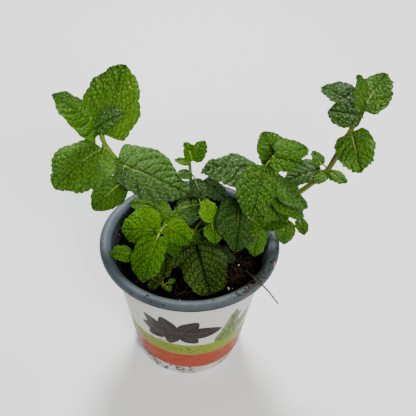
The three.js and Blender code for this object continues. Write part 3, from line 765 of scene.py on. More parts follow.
STEM_STEPS = 48
stem_lines = {}
for name, (foot, tip, brown, route) in STEMS.items():
    line = smooth_route([Vector(p) / 1000 for p in route], STEM_STEPS)
    low, high = (Vector(corner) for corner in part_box(f"stem_{name}"))
    move = shift_to(line, low, high, foot / 1000)
    line = [p + move for p in line]
    stem_lines[name] = line
    radii = []
    for i, point in enumerate(line):
        share = i / STEM_STEPS
        thick = (foot + (tip - foot) * share) * (1.0 if share < 0.97 else 0.5)  # it closes at a bud
        knuckle = max(0.0, math.cos(share * math.tau * 3.0)) ** 8 * 0.12 if len(route) > 4 else 0.0
        radii.append(thick / 1000 * (1 + knuckle + 0.04 * noise.noise(point * 300)))
    stem = gather(f"{name}_stem", [(*tube(line, radii, 20, 0.4, 0.07), brown)])
    only(stem)
    bpy.ops.object.shade_smooth_by_angle(angle=math.radians(60))
    stem.data.materials.append(stem_skin)
    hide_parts(f"stem_{name}")
    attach(stem, "root")


# a thin runner crosses from the left stem's foot to the back stem
RUNNER = [(-14, 21, 100), (-7, 20, 110), (0, 21.5, 111.5), (6.5, 23, 112), (5, 28, 113), (2, 30.5, 113)]
runner_line = smooth_route([Vector(p) / 1000 for p in RUNNER], 40)
runner = gather("runner", [(*tube(runner_line, [0.00042] * len(runner_line), 10), 0.0)])
runner.data.materials.append(stem_skin)
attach(runner, "root")


# ---------------------------------------------------------------------------
# The leaves: broad soft blades on short petioles, in pairs up each stem. Deep veins
# quilt the blade between them, the margin is scalloped, and fine down gives a sheen.
# A bluish sheen on the puffs and shade in the creases are painted into the colour.
# ---------------------------------------------------------------------------

MESH_STEP, PETIOLE_STEPS = 0.00043, 18
LARGE_LEAF = 0.040  # from this length on, a leaf has its full thickness, quilting and veins


def blade_width(s, point):
    """The blade's width along it, as a share of its greatest. point sharpens its tip."""
    s = min(max(s, 0.0), 1.0)
    return max(0.0, math.sin(math.pi * s ** 0.8)) ** (0.5 + point * s * s)


def vein_phase(s, across, length, veins):
    """Counts the side veins: whole numbers lie on a vein. They leave the midrib at a
    wide angle by the stalk and a narrow one by the tip, and curve forwards."""
    far = abs(across) / length
    uneven = 0.14 * noise.noise(Vector((s * 5, across * 90, veins)))
    return veins * (s - far * (0.20 + 0.80 * s) * (1 + 0.9 * far)) + 0.3 + uneven


def bubbles(x, y, seed):
    """How far each place is from the wall of its cell, in a loose mesh of unit cells."""
    cell_x, cell_y = np.floor(x), np.floor(y)
    nearest, second = np.full(x.shape, 9.0), np.full(x.shape, 9.0)
    near_x, near_y, next_x, next_y = (np.zeros(x.shape) for _ in range(4))
    for i in (-1, 0, 1):
        for j in (-1, 0, 1):
            key = (cell_x + i) * 12.9898 + (cell_y + j) * 78.233 + seed
            at_x = cell_x + i + 0.5 + 0.78 * (np.mod(np.sin(key) * 4375.85, 1.0) - 0.5)
            at_y = cell_y + j + 0.5 + 0.78 * (np.mod(np.sin(key + 39.42) * 2751.31, 1.0) - 0.5)
            gap = (at_x - x) ** 2 + (at_y - y) ** 2
            first = gap < nearest
            other = ~first & (gap < second)
            next_x = np.where(first, near_x, np.where(other, at_x, next_x))
            next_y = np.where(first, near_y, np.where(other, at_y, next_y))
            second = np.where(first, nearest, np.where(other, gap, second))
            near_x, near_y = np.where(first, at_x, near_x), np.where(first, at_y, near_y)
            nearest = np.where(first, gap, nearest)
    apart = np.hypot(next_x - near_x, next_y - near_y) + 1e-9
    return (second - nearest) / (2 * apart)


FINISHES = {}


def from_map(tree, name):
    """The two numbers that a leaf's map keeps at each place: the first, and the second
    without its sign. Map veins has the vein count and the distance from the midrib in
    millimetres, and map blade the share of the length and of the half width."""
    parts = node(tree, "ShaderNodeSeparateXYZ", {0: node(tree, "ShaderNodeUVMap", uv_map=name).outputs[0]})
    return parts.outputs["X"], calc(tree, "ABSOLUTE", parts.outputs["Y"])


def off_vein(tree, phase):
    """How far from the nearest side vein, as a share of the space between two."""
    turn = calc(tree, "FRACT", calc(tree, "ADD", phase, 0.5))
    return calc(tree, "ABSOLUTE", calc(tree, "SUBTRACT", turn, 0.5))


def leaf_finish(name, painted_shade, mid, light, painted_sheen, painted_sheen_share, vein, gloss, specular, sheen=0.005,
                crease_from=0.5):
    """The upper and lower skins of a leaf. Colours are the dark green of painted shade in
    creases, hollows and along the margin, the mid green, the light green of pale patches and of
    leaves lifted by tone, partly as painted light, the bluish painted sheen on puffs, and the main veins."""
    top, tree, shader = finish(f"{name}_upper")
    place = place_on(tree)
    tone = kept(tree, "tone")
    puff = kept(tree, "puff")
    rib = kept(tree, "rib")
    phase, width = from_map(tree, "veins")
    along, rim = from_map(tree, "blade")
    # the midrib and the side veins, by their distance in the blade's own measure
    midrib = ramp(tree, calc(tree, "MULTIPLY_ADD", along, 0.35, width), 0.75, 0.30)
    side = ramp(tree, off_vein(tree, phase), 0.055, 0.012)
    side = calc(tree, "MULTIPLY", side, ramp(tree, rim, 0.75, 0.25))
    main = calc(tree, "MAXIMUM", midrib, calc(tree, "MULTIPLY", side, 0.40), clamp=True)
    # the net of small veins puckers the skin between them
    wobble = node(tree, "ShaderNodeTexNoise", {"Vector": place, "Scale": 330.0, "Detail": 1.0})
    wobble = wobble.outputs["Color"]
    bent = node(tree, "ShaderNodeVectorMath", {0: wobble, "Scale": 0.0011}, operation="SCALE").outputs[0]
    bent = node(tree, "ShaderNodeVectorMath", {0: place, 1: bent}, operation="ADD").outputs[0]
    net = node(tree, "ShaderNodeTexVoronoi", {"Vector": bent, "Scale": 760.0, "Randomness": 0.9},
               feature="DISTANCE_TO_EDGE").outputs["Distance"]
    pucker = ramp(tree, net, 0.0, 0.30)
    # colour: creases take a dark, pure green as painted shade, and the tops of the puffs a bluish painted
    # sheen
    cloudy = grains(tree, place, 80, 3)
    body = mix(tree, ramp(tree, cloudy, 0.38, 0.66, 0.0, 0.45), mid, light)
    # tone above the middle lightens the leaf: partly its own colour, partly painted light
    body = mix(tree, ramp(tree, tone, 0.5, 1.0), body, light)
    # painted sheen: a bluish sheen laid on the tops of the puffs
    body = mix(tree, calc(tree, "MULTIPLY", ramp(tree, puff, 0.45, 0.95), painted_sheen_share), body, painted_sheen)
    # painted shade in the creases between the puffs, less on lighter leaves
    painted_crease_shade = ramp(tree, puff, crease_from, 0.05, 0.0, 0.95)
    painted_crease_shade = calc(tree, "MULTIPLY", painted_crease_shade, ramp(tree, tone, 0.5, 1.0, 1.0, 0.4))
    body = mix(tree, painted_crease_shade, body, painted_shade)
    # painted shade along the creases of the puckered net
    body = mix(tree, ramp(tree, pucker, 0.8, 0.0, 0.0, 0.35), body, painted_shade)
    # painted shade: tone below the middle darkens the whole leaf
    shaded = calc(tree, "MULTIPLY", calc(tree, "SUBTRACT", 0.5, tone), 1.5, clamp=True)
    body = mix(tree, shaded, body, [0.3 * c for c in painted_shade[:3]] + [1])
    shown = calc(tree, "MULTIPLY", main, rib)
    shown = calc(tree, "MULTIPLY", shown, ramp(tree, along, 0.80, 0.1), clamp=True)
    body = mix(tree, shown, body, vein)
    # painted shade along the margin
    body = mix(tree, ramp(tree, rim, 0.93, 1.0, 0.0, 0.35), body, painted_shade)
    tree.links.new(body, shader.inputs["Base Color"])
    tree.links.new(ramp(tree, puff, 0.0, 1.0, gloss + 0.25, gloss), shader.inputs["Roughness"])
    shader.inputs["Specular IOR Level"].default_value = specular
    shader.inputs["Sheen Weight"].default_value = sheen
    shader.inputs["Sheen Roughness"].default_value = 0.45
    shader.inputs["Sheen Tint"].default_value = (0.72, 0.88, 0.84, 1)
    puckered = bump(tree, shader, pucker, 0.00028, 0.8)
    downy = bump(tree, shader, grains(tree, place, 3200, 2, 0.6), 0.00006, 0.5, puckered)
    bump(tree, shader, calc(tree, "SUBTRACT", 1.0, main), 0.00025, 0.7, downy)

    under, tree, shader = finish(f"{name}_lower")
    place = place_on(tree)
    phase, width = from_map(tree, "veins")
    main = calc(tree, "MAXIMUM", ramp(tree, width, 0.75, 0.25), ramp(tree, off_vein(tree, phase), 0.10, 0.02))
    pale = [0.60 * c + 0.40 * g for c, g in zip(mid[:3], (0.22, 0.30, 0.12))] + [1]
    paler = [0.50 * c + 0.50 * g for c, g in zip(light[:3], (0.34, 0.42, 0.20))] + [1]
    net = node(tree, "ShaderNodeTexVoronoi", {"Vector": place, "Scale": 620.0},
               feature="DISTANCE_TO_EDGE").outputs["Distance"]
    body = mix(tree, ramp(tree, net, 0.0, 0.25), paler, pale)
    dull = calc(tree, "MULTIPLY", grains(tree, place, 260, 4), 0.5)
    body = mix(tree, dull, body, [0.7 * c for c in pale[:3]] + [1])
    body = mix(tree, calc(tree, "MULTIPLY", main, 0.75), body, paler)
    tree.links.new(body, shader.inputs["Base Color"])
    shader.inputs["Roughness"].default_value = 0.62
    shader.inputs["Specular IOR Level"].default_value = 0.3
    shader.inputs["Sheen Weight"].default_value = 0.15
    ridges = calc(tree, "SUBTRACT", main, ramp(tree, net, 0.0, 0.25, 0.0, 0.5))
    raised = bump(tree, shader, ridges, 0.0005, 0.9)
    bump(tree, shader, grains(tree, place, 1500, 4, 0.65), 0.0003, 0.7, raised)
    FINISHES[name] = (top, under)


# Every finish paints a bluish sheen on the puffs and shade in the creases. The second and third carry the
# most painted sheen; dim_green and shade_green are copies painted darker, as painted shade, for leaves in
# shade, most of them low in the pot, and shade_green paints its veins dark, as shade in their grooves.
leaf_finish("full_green", (0.012, 0.046, 0.0004, 1), (0.054, 0.155, 0.0008, 1), (0.104, 0.245, 0.002, 1),
            (0.080, 0.192, 0.010, 1), 0.45, (0.320, 0.400, 0.120, 1), gloss=0.30, specular=0.24)
leaf_finish("painted_blue_sheen_green", (0.004, 0.020, 0.0003, 1), (0.034, 0.112, 0.0012, 1), (0.070, 0.188, 0.002, 1),
            (0.078, 0.172, 0.026, 1), 0.75, (0.320, 0.400, 0.130, 1), gloss=0.27, specular=0.27)
leaf_finish("glossy_painted_sheen_green", (0.002, 0.013, 0.0002, 1), (0.018, 0.066, 0.0006, 1), (0.042, 0.125, 0.001, 1),
            (0.058, 0.145, 0.022, 1), 0.80, (0.240, 0.330, 0.060, 1), gloss=0.22, specular=0.34, sheen=0.0,
            crease_from=0.60)
leaf_finish("dim_green", (0.0008, 0.005, 0.0001, 1), (0.009, 0.032, 0.0004, 1), (0.022, 0.064, 0.001, 1),
            (0.020, 0.056, 0.004, 1), 0.60, (0.060, 0.105, 0.020, 1), gloss=0.42, specular=0.14, sheen=0.0)
leaf_finish("shade_green", (0.0015, 0.006, 0.0002, 1), (0.023, 0.060, 0.0006, 1), (0.068, 0.120, 0.003, 1),
            (0.088, 0.155, 0.008, 1), 0.75, (0.001, 0.005, 0.0002, 1), gloss=0.32, specular=0.17, sheen=0.0,
            crease_from=0.58)
leaf_finish("young_green", (0.015, 0.064, 0.0002, 1), (0.068, 0.208, 0.0003, 1), (0.150, 0.340, 0.0010, 1),
            (0.112, 0.268, 0.002, 1), 0.40, (0.240, 0.370, 0.030, 1), gloss=0.32, specular=0.15, sheen=0.0)


def leaf_point(leaf, s, t, lobe=0.0):
    """A point of the smooth blade in its own axes, x along it, y to its left and z up,
    with the way its skin faces there and its half width. s runs from the foot to the
    tip, and t from -1 at the right margin to 1 at the left."""
    length, width = leaf["size"]
    fold, curl = (math.radians(a) for a in leaf["bend"])
    back = s - lobe * abs(t) ** 2 * (1 - s) ** 4 * min(1.0, s * 8)
    slope = curl * (0.5 - back)
    along = length * (math.sin(curl / 2) - math.sin(slope)) / curl
    up = length * (math.cos(slope) - math.cos(curl / 2)) / curl
    side = 1 if t > 0 else -1 if t < 0 else 0
    half = width / 2 * blade_width(s, leaf.get("point", 0.12)) * (1 + leaf["lean"] * side)
    height = half * abs(t) ** 1.4 * math.sin(fold)
    normal = Vector((-math.sin(slope), 0, math.cos(slope)))
    return Vector((along, half * t * math.cos(fold), up)) + normal * height, normal, half


def leaf_turn(aim):
    """The turn that points a leaf by its heading, rise and roll in degrees."""
    heading, rise, roll = (math.radians(a) for a in aim)
    return Matrix.Rotation(heading, 4, "Z") @ Matrix.Rotation(-rise, 4, "Y") @ Matrix.Rotation(roll, 4, "X")


def make_leaf(name, stem, leaf, cad_node=None, seed=0.0):
    """One leaf: a quilted, scalloped blade with its petiole, thickened to a closed skin."""
    length, width = leaf["size"]
    big = min(1.0, length / LARGE_LEAF)
    turned = leaf_turn(leaf["aim"])
    base = Vector(leaf["base"])
    nearest = min(stem_lines[stem], key=lambda p: (p - base).length)
    if cad_node:
        plain = [turned @ leaf_point(leaf, i / 12, j / 6)[0] + base for i in range(13) for j in range(-6, 7)]
        low, high = (Vector(corner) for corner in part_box(cad_node))
        base = base + shift_to(plain + [nearest.lerp(base, 0.4)], low, high)
    base = base + Vector(leaf.get("move", (0, 0, 0))) / 1000
    length, width = length * leaf.get("grow", 1.0), width * leaf.get("grow", 1.0)
    leaf = {**leaf, "size": (length, width)}
    # scallops are spaced evenly round the margin, so its length is measured first
    stations = [i / 200 for i in range(201)]
    reach = [0.0]
    for a, b in zip(stations, stations[1:]):
        rise = (blade_width(b, 0.12) - blade_width(a, 0.12)) * width / 2
        reach.append(reach[-1] + math.hypot((b - a) * length, rise))
    teeth = leaf.get("teeth", max(6, round(reach[-1] / (0.0026 + 0.0017 * big))))

    bpy.ops.object.select_all(action="DESELECT")
    bpy.ops.mesh.primitive_grid_add(x_subdivisions=max(24, round(length / MESH_STEP)),
                                    y_subdivisions=max(22, round(width / MESH_STEP)), size=2)
    blade = bpy.context.object
    mesh = blade.data
    blade_uv = mesh.uv_layers.new(name="blade")
    vein_uv = mesh.uv_layers.new(name="veins")
    cell = (0.0018 + 0.0008 * big) * leaf.get("cell", 1.0)
    depth = (0.00085 + 0.00125 * big) * leaf.get("quilt", 1.0)
    rows, furrow = leaf.get("rows", 0.20), leaf.get("furrow", 1.0)
    count_of_veins = 5 + 3 * big
    glow = leaf.get("glow", (0.0, 0.0, 0.0))
    tones, puffs, spots, smooth = [], [], [], []
    for vertex in mesh.vertices:
        v, t = (vertex.co.x + 1) / 2, vertex.co.y
        s = 0.5 * v + 0.5 * (0.5 - 0.5 * math.cos(math.pi * v))
        point, normal, half = leaf_point(leaf, s, t, leaf.get("lobe", 0.16) if width > 0.016 else 0.05)
        across = half * t
        spots.append((s, t, vein_phase(s, across, length, count_of_veins), across * 1000))
        smooth.append((point, normal))
    # quilting: side veins lie in furrows, and the skin puffs up in cells between them
    measures = np.array(spots)
    cells_x = (0.35 * measures[:, 2] / count_of_veins + 0.65 * measures[:, 0]) * length / cell
    cells_y = measures[:, 3] / 1000 / cell
    sway = np.sin(cells_x * 1.3 + seed * 9) * 0.25
    walls = bubbles(cells_x + np.sin(cells_y * 1.1) * 0.25, cells_y + sway, 7 + seed * 50)
    domes = np.minimum(1.0, walls / 0.42) ** 0.9
    for vertex, (s, t, phase, across), (point, normal), dome in zip(mesh.vertices, spots, smooth, domes):
        # scalloped margin, with the teeth pointing a little forwards
        round_margin = np.interp(s, stations, reach) / reach[-1]
        wave = round_margin * teeth + seed + (0.5 if t < 0 else 0.0)
        wave += 0.55 * noise.noise(Vector((round_margin * 5, seed * 20, 1 if t > 0 else 5)))
        bite = 0.25 + 1.5 * abs(noise.noise(Vector((math.floor(wave) * 1.7, seed * 30, 2 if t > 0 else 6))))
        wave %= 1.0
        scallop = math.sqrt(max(0.0, 1 - abs(2 * wave ** 0.85 - 1) ** 2.0)) - 0.62
        reach_out = abs(t) ** 12 * leaf.get("notch", 0.00170) * (0.45 + 0.55 * big) * scallop * bite
        reach_out *= min(1.0, s * 10, (1 - s) * 14)
        ragged = noise.noise(Vector((round_margin * 7, seed * 40, 3 if t > 0 else 8)))
        reach_out += abs(t) ** 4 * 0.0017 * big * ragged
        point.y += reach_out * (1 if t > 0 else -1)
        point.x += reach_out * 0.5 * min(1.0, s * 3)
        row_puff = min(1.0, abs(math.sin(math.pi * phase)) / 0.85) * min(1.0, abs(across) / 1.8)
        row_puff = 1 - furrow * (1 - row_puff)
        puff = rows * row_puff + (1 - rows) * dome * (0.55 + 0.45 * row_puff)
        lift = depth * (puff - 0.6) * (1 - 0.85 * abs(t) ** 8)
        lift += depth * 0.4 * noise.noise(Vector((phase * 0.9, across * 0.17, seed * 9)))
        lift -= depth * 0.8 * furrow * math.exp(-(across / 1.1) ** 2) * (1 - 0.6 * s)
        # the margin waves gently
        lift += width * leaf.get("wave", 0.020) * abs(t) ** 3 * math.sin(
            (round_margin * 2.6 + seed * 1.7 + (0.35 if t > 0 else 0)) * math.tau)
        vertex.co = turned @ (point + normal * lift) + base
        puffs.append(puff * (1 - 0.4 * abs(t) ** 14))
        # painted light and shade: tone slopes along and across the blade and towards the margin, partly the
        # leaf's own tint
        tones.append(0.5 + leaf.get("tone", 0.0) + glow[0] * (s - 0.5) + glow[1] * t + glow[2] * abs(t))
    for loop in mesh.loops:
        s, t, phase, across = spots[loop.vertex_index]
        blade_uv.data[loop.index].uv = (s, t)
        vein_uv.data[loop.index].uv = (phase, across)
    for field, values in (("tone", tones), ("puff", puffs), ("rib", [leaf.get("rib", 0.7)] * len(tones))):
        mesh.attributes.new(field, "FLOAT", "POINT").data.foreach_set("value", values)
    top, under = FINISHES[leaf["finish"]]
    for skin in (top, under, stem_skin):
        mesh.materials.append(skin)
    only(blade)
    bpy.ops.object.mode_set(mode="EDIT")
    bpy.ops.mesh.select_all(action="SELECT")
    bpy.ops.mesh.remove_doubles(threshold=1e-6)
    bpy.ops.object.mode_set(mode="OBJECT")
    skin = blade.modifiers.new("skin", "SOLIDIFY")
    skin.thickness = 0.00030 + 0.00015 * big
    skin.offset = -1
    skin.material_offset = 1
    skin.material_offset_rim = 0
    bpy.ops.object.modifier_apply(modifier="skin")
    bpy.ops.object.shade_smooth()

    # the petiole runs from the stem to the blade's foot and on a little way under it
    nearest = min(stem_lines[stem], key=lambda p: (p - base).length)
    stalk = min(0.0010, max(0.00045, width * 0.034)) * leaf.get("stalk", 1.0)
    way = base - nearest
    start = nearest + way * min(0.6, 0.0006 / max(way.length, 1e-6))
    onward = [turned @ (leaf_point(leaf, s, 0.0)[0] - Vector((0, 0, drop))) + base
              for s, drop in ((0.0, depth * 0.9), (0.06, depth * 1.1 + stalk), (0.14, depth * 1.2 + stalk))]
    line = smooth_route([start, start.lerp(base, 0.5) + Vector((0, 0, 0.0006)), *onward], PETIOLE_STEPS)
    radii = [stalk * (1.15 - 0.95 * max(0.0, i / PETIOLE_STEPS - 0.35) / 0.65) for i in range(len(line))]
    petiole = gather("petiole", [(*tube(line, radii, 10), leaf.get("stalk_tone", 0.1))])
    for skin in (top, under, stem_skin):
        petiole.data.materials.append(skin)
    petiole.data.polygons.foreach_set("material_index", [2] * len(petiole.data.polygons))
    for layer in ("UVMap", "blade", "veins"):
        petiole.data.uv_layers.new(name=layer)
    bpy.ops.object.select_all(action="DESELECT")
    petiole.select_set(True)
    blade.select_set(True)
    bpy.context.view_layer.objects.active = blade
    bpy.ops.object.join()
    blade.name = name
    if cad_node:
        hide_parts(cad_node)
    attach(blade, "root")
    return blade


def row(base, aim, size, bend, lean, finish_name="full_green", **more):
    """A leaf's numbers, from millimetres to metres: its foot, the heading, rise and roll
    of its blade, length and width, fold and curl, and how much wider its left half is."""
    return {"base": [c / 1000 for c in base], "aim": aim, "size": [c / 1000 for c in size],
            "bend": bend, "lean": lean, "finish": finish_name, **more}


# Beyond that a leaf may have: tone, lighter or darker, partly its own colour and partly
# painted light and shade; glow, the change of tone along, across and towards
# the margin, painted light and shade with some of the leaf's own tint; rib, how pale the main
# veins are; quilt, cell, rows and furrow, the height, size, order and depth of the quilting;
# notch, teeth, wave, point and lobe, its margin and outline; grow and move, in millimetres,
# against its place; stalk and stalk_tone, the petiole's thickness and colour.
LEAVES = {
    "left": [
        row((-56, 22, 171), (58, 55, 5), (46, 39), (-3, 32), -0.05, glow=(-0.5, -0.34, 0.05), tone=0.28,
            rib=0.9, quilt=0.95, cell=1.05, rows=0.26, furrow=0.75),
        row((-59, 13, 181), (174, 45, 1), (36, 30), (-7, 28), -0.05, "young_green", glow=(-0.2, 0.1, 0.0),
            tone=-0.30, rib=0.4, lobe=0.3, quilt=0.85, rows=0.38, furrow=0.8, notch=0.0012, cell=0.85,
            move=(1.8, -0.8, -0.8)),
        row((-57, 7.5, 185), (-8, 38, 12), (22, 18), (0, 35), 0.15, "painted_blue_sheen_green", tone=-0.02, rib=0.2,
            quilt=0.6, grow=1.12, move=(-1.2, 0, 0)),
        row((-55, 13, 168), (-133, -13, -8), (41, 40), (-14, 36), 0, tone=0.0, rib=0.9, quilt=1.10,
            cell=1.05, rows=0.32, furrow=0.65, notch=0.0021),
        row((-46, 12, 157), (-5, -26, 12), (51, 42), (-13, 15), 0.2, "painted_blue_sheen_green", point=0.35, rows=0.42,
            tone=0.05, rib=1.4, glow=(-0.1, 0.25, 0.0)),
        row((-45, 10, 141), (-144, -28, -15), (25, 22), (-10, 24), 0, "young_green", tone=-0.36, rib=0.9,
            quilt=0.6, notch=0.0008, cell=0.8),
        row((-26, 19, 113), (176, 7, -8), (15, 13), (-10, 27), 0, "young_green", tone=-0.3),
    ],
    "back": [
        row((0, 24, 140), (-139, 7, -9), (11, 10), (-12, 24), 0, "painted_blue_sheen_green"),
        row((3, 25, 133), (-68, -30, -7), (15, 12), (-14, 24), 0, "glossy_painted_sheen_green", tone=0.1),
        row((8, 31, 127), (-37, -19, -4), (20, 16), (-13, 24), 0, "dim_green", tone=0.2, grow=1.1, rib=0.3),
    ],
    "right": [
        row((45, 18, 147), (-173, 4, 0), (40, 32), (-15, 55), 0.05, "glossy_painted_sheen_green", tone=0.26, point=0.45,
            rows=0.45, rib=0.9, grow=1.05, quilt=1.4),
        row((46, 4, 162), (-109, -37, 0), (35, 26), (-13, 25), -0.15, tone=-0.08, rib=0.15, cell=0.95,
            stalk=0.7, quilt=1.1),
        row((51, 5, 154), (-27, -32, -12), (31, 26), (-14, 21), 0, "painted_blue_sheen_green", tone=0.17, rows=0.35),
        row((52, 6, 141), (-33, -28, -6), (28, 23), (-9, 28), 0.05, "painted_blue_sheen_green", tone=0.38),
        row((51, 18, 155), (126, 48, -12), (20, 18), (-5, 30), -0.15, tone=0.12, grow=1.2, move=(4, 0, -4)),
        row((54, 10, 166), (36, -7, 10), (24, 22), (-5, 31), 0.3, "young_green", tone=-0.28, grow=0.95,
            move=(2, 0, -1)),
        row((51, 4, 169), (-33, 11, 26), (20, 17), (-8, 26), 0, "young_green", tone=-0.28, rib=0.3,
            move=(-1, 0, 0.8)),
        row((33, 7, 132), (-95, -25, -12), (37, 30), (-6, 27), 0, "glossy_painted_sheen_green", tone=0.24, rib=0.7, cell=0.85,
            quilt=1.2, grow=0.97, move=(-0.8, 1, -2.5)),
    ],
    "far_right": [
        row((83, 18, 149), (-176, -26, -5), (25, 21), (-6, 32), -0.2, "painted_blue_sheen_green", tone=-0.14, rows=0.5),
        row((89, 9, 156), (-43, -5, 0), (14, 11), (-14, 23), 0, tone=0.05, move=(-2.2, 0, -0.8)),
        row((96, 16.5, 200.5), (140, 5, -7), (21, 18), (-2, 34), -0.25, "painted_blue_sheen_green", tone=-0.14, quilt=1.1,
            notch=0.0022, move=(-0.5, 0, 1.6), grow=1.05),
        row((94.5, 1, 204), (140, -16, -36), (19, 17), (-8, 28), -0.15, "painted_blue_sheen_green", tone=-0.10, rib=0.2,
            grow=1.25, move=(4.0, -0.5, 0)),
        row((98, 4, 208), (128, 75, 16), (21, 16), (-6, 33), -0.1, rib=0.2),
        row((102, 9, 202), (50, 33, -4), (27, 24), (-12, 22), 0, tone=-0.08, rib=1.6, move=(-1.7, 0, 0.8),
            notch=0.0022),
        row((95, 4, 190), (-84, -14, 28), (30, 24), (-13, 13), 0, tone=0.0, rib=2.0, notch=0.0027, wave=0.04,
            rows=0.35, glow=(0.30, 0, 0)),
    ],
    "front": [
        row((-21, -1, 111), (166, -12, -42), (28, 27), (-10, 34), -0.15, "young_green",
            glow=(-0.3, -0.32, 0.0), move=(1.6, -0.5, -0.5), quilt=0.85, stalk_tone=-0.5),
        row((-21, -8, 112), (-106, -24, 5), (33, 25), (-18, 24), -0.25, "young_green", tone=-0.10,
            glow=(-0.6, 0, 0), quilt=0.85, cell=0.9, stalk_tone=-0.5),
        row((-14, -4, 113), (-22, -30, 16), (20, 19), (-8, 27), 0, "young_green", tone=0.08,
            glow=(-0.4, 0.25, 0.0), move=(-1.3, 1.0, 0.5), rows=0.4, stalk_tone=-0.5),
        row((-14, -5, 108), (-57, -39, -12), (15, 12), (-14, 24), 0, "young_green", tone=-0.35),
        row((-12, 8.5, 114), (150, 10, -2), (16, 13), (-13, 24), 0, "young_green", tone=-0.25),
    ],
    "centre": [
        row((15, -2, 119), (115, 36, 2), (17, 14), (-13, 23), 0, "young_green", tone=0.30, point=0.3),
        row((14, -8, 118), (-80, -14, 0), (14, 12), (-10, 25), 0, "young_green", tone=-0.15, grow=1.1,
            move=(0, 3, 3)),
    ],
    "low": [
        row((-1, 3, 95), (-77, -6, 6), (45, 33), (-12, 16), 0.1, "shade_green", tone=0.05, quilt=1.1,
            rows=0.25, cell=0.95, rib=1.1, point=-0.15, move=(1.2, -0.5, 0)),
        row((-7, 11, 106), (31, 14, 2), (17, 14), (-8, 29), 0.1, "glossy_painted_sheen_green", tone=0.0, rib=0.4),
    ],
    "inner": [
        row((44, -2, 120), (-117, -39, 28), (18, 14), (-16, 24), 0, tone=-0.04, grow=1.15,
            move=(-1.5, 1, 6), wave=0.05),
        row((48, -4, 117), (-96, -38, -14), (20, 15), (-19, 23), 0, tone=0.0, grow=1.15, move=(-4, 2, 3)),
        row((50, 3, 119), (-47, 23, 15), (15, 13), (-12, 25), 0, grow=1.3),
    ],
    "over_rim": [
        row((62, 5, 114), (-92, -31, 0), (15, 12), (-13, 25), 0.15, tone=-0.03, grow=1.15, move=(0, 1, 1)),
        row((72, 6, 116), (-73, -23, 0), (12, 9), (-11, 26), 0.05),
    ],
    "sprout_left": [
        row((-37, -12, 100), (-162, 16, -11), (16, 14), (-12, 25), 0, "young_green", tone=-0.22),
    ],
}
count = 0  # each leaf's own seed comes from its number in the whole plant
for stem, leaves in LEAVES.items():
    for number, leaf in enumerate(leaves, 1):
        count += 1
        make_leaf(f"{stem}_leaf_{number}", stem, leaf, f"leaf_{stem}_{number}", seed=count * 0.37 % 1.0)

# young leaves at the growing tips, and small ones low in the pot, half hidden
BROWN_STALK = {"stalk": 0.7, "stalk_tone": 1.0}
YOUNG = {
    "back": [
        row((0.5, 28, 146), (150, 66, 5), (14, 12), (-8, 29), 0, "young_green", tone=-0.12, lobe=0.3),
        row((1.2, 28, 146), (43, 50, -5), (15, 14), (-12, 26), 0, "young_green", tone=-0.12, lobe=0.3),
        row((0.5, 27, 146), (95, 60, 0), (11, 10), (-12, 26), 0, "young_green", tone=-0.2),
        row((-1, 28, 144), (170, 8, 0), (10, 8), (-10, 27), 0, "young_green", tone=-0.2),
    ],
    "far_right": [
        row((83, 11, 159), (129, 25, 0), (11, 9), (-14, 23), 0),
        row((85, 7, 157), (-137, -27, 0), (11, 9), (-14, 24), 0),
    ],
    "front": [
        row((-16, 8, 109), (45, 19, 5), (11, 9), (-11, 25), 0, "young_green", tone=-0.1),
        row((-17, -2.5, 112), (-150, 18, 0), (7, 6), (-14, 24), 0, "young_green", tone=0.5, quilt=0.5,
            stalk_tone=-0.5),
        row((-16, -2.5, 112), (-60, 22, 0), (7, 6), (-14, 24), 0, "young_green", tone=0.5, quilt=0.5,
            stalk_tone=-0.5),
        row((-16.5, -1, 112), (70, 40, 0), (6, 5), (-14, 24), 0, "young_green", tone=0.3, quilt=0.5),
        row((-10, 14, 106), (35, 16, 4), (22, 17), (-11, 25), 0, tone=-0.22),
        row((-16, 14, 106), (120, 20, 4), (20, 15), (-11, 25), 0, tone=-0.22),
    ],
    "left": [
        row((-49, 12, 158), (-20, 30, 0), (6, 5), (-8, 25), 0),
    ],
    "right": [
        row((46, 6, 137), (-52, -22, 4), (22, 19), (-10, 26), 0, tone=-0.05),
        row((48, 10, 157), (-145, -3, -3), (10, 8), (-10, 25), 0, tone=-0.1),
    ],
    "low": [
        row((1, 8, 103), (-63, -26, 0), (11, 9), (-12, 25), 0, "young_green", tone=-0.35),
        row((-4, 17, 99), (20, 5, 8), (28, 22), (-10, 20), 0, "dim_green", tone=0.2),
        row((12, 16, 97), (-150, 12, -5), (24, 20), (-9, 26), 0, "dim_green", tone=0.1),
        row((-6, 15, 104), (60, 24, 0), (22, 20), (-9, 26), 0, "dim_green", tone=0.1),
        row((8, 20, 100), (-175, 6, 12), (20, 18), (-9, 26), 0, "dim_green", tone=0.0),
        row((-3, -2, 91), (-155, -5, 10), (24, 19), (-12, 24), 0, "shade_green", tone=0.1, wave=0.05),
        row((14, 2, 93), (-35, -10, -6), (20, 15), (-10, 24), 0, "dim_green", tone=0.1, wave=0.04),
    ],
    "sprout_front": [
        row((-13.5, -29, 90), (25, 12, 0), (5, 4.5), (-8, 22), 0, "young_green", tone=-0.30, **BROWN_STALK),
        row((-15, -31, 90), (-60, 5, 0), (6, 5), (-8, 22), 0, "young_green", tone=-0.30, **BROWN_STALK),
        row((-18, -27, 90), (150, 10, 0), (9, 7), (-8, 22), 0, "shade_green", tone=0.1, **BROWN_STALK),
        row((-17, -24, 90), (80, 14, 0), (11, 9), (-8, 22), 0, "shade_green", tone=0.0, **BROWN_STALK),
        row((-21, -25, 89), (-120, -8, 0), (9, 8), (-8, 22), 0, "shade_green", tone=0.0, **BROWN_STALK),
    ],
}
for stem, leaves in YOUNG.items():
    for number, leaf in enumerate(leaves, 1):
        count += 1
        make_leaf(f"{stem}_young_{number}", stem, leaf, seed=count * 0.37 % 1.0)


# ---------------------------------------------------------------------------
# The stage: a plain pale floor under a pale sky, a soft lamp high behind the plant and
# one in front of it at the right, and the camera.
# ---------------------------------------------------------------------------

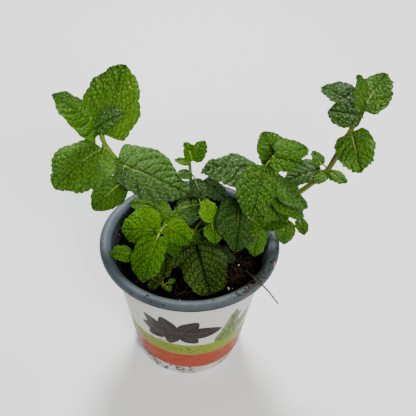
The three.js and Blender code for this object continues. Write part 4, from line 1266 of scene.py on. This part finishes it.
bpy.ops.object.select_all(action="DESELECT")
bpy.ops.mesh.primitive_plane_add(size=6, location=(0, 0, 0))
floor = bpy.context.object
floor.name = "floor"
paper, tree, shader = finish("pale_floor")
place = place_on(tree)
tree.links.new(mix(tree, grains(tree, place, 6, 2), (0.95, 0.95, 0.95, 1), (0.97, 0.97, 0.97, 1)),
               shader.inputs["Base Color"])
shader.inputs["Roughness"].default_value = 0.9
floor.data.materials.append(paper)
floor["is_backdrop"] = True

world = bpy.data.worlds.new("studio")
world.use_nodes = True
sky = world.node_tree.nodes["Background"]
sky.inputs["Color"].default_value = (0.95, 0.97, 1.0, 1)
sky.inputs["Strength"].default_value = 0.26
bpy.context.scene.world = world


def lamp(name, place, aim, size, watts, colour):
    """A round soft lamp at a place, turned to the point that it is aimed at."""
    light = bpy.data.lights.new(name, "AREA")
    light.shape = "DISK"
    light.size = size
    light.energy = watts
    light.color = colour
    made = bpy.data.objects.new(name, light)
    bpy.context.collection.objects.link(made)
    made.location = place
    made.rotation_euler = (Vector(aim) - Vector(place)).to_track_quat("-Z", "Y").to_euler()


lamp("key", (0.0, 0.62, 0.95), (0, 0, 0.12), 0.28, 18.0, (0.98, 0.99, 1))
lamp("front", (0.22, -0.75, 0.80), (0, 0, 0.10), 0.4, 11.0, (1, 0.99, 0.97))

# the lens looks down at 45 degrees on the middle of the rim, aimed a little off it
DISTANCE, ELEVATION, YAW, PITCH, TILT = 0.5344, math.radians(45.11), 0.030, -0.041, -0.037
LENS, SENSOR = 69.23, 36  # in millimetres
eye = Vector((0, -DISTANCE * math.cos(ELEVATION), 0.100 + DISTANCE * math.sin(ELEVATION)))
down_by = ELEVATION + PITCH
ahead = Vector((math.sin(YAW) * math.cos(down_by), math.cos(YAW) * math.cos(down_by), -math.sin(down_by)))
right = ahead.cross(Vector((0, 0, 1))).normalized()
below = ahead.cross(right)
across_axis = right * math.cos(TILT) + below * math.sin(TILT)
down_axis = below * math.cos(TILT) - right * math.sin(TILT)
lens = bpy.data.cameras.new("camera")
lens.lens = LENS
lens.sensor_width = SENSOR
lens.clip_start = 0.01
camera = bpy.data.objects.new("camera", lens)
bpy.context.collection.objects.link(camera)
facing = Matrix((across_axis, -down_axis, -ahead)).transposed().to_4x4()
facing.translation = eye
camera.matrix_world = facing
bpy.context.scene.camera = camera

low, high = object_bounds()
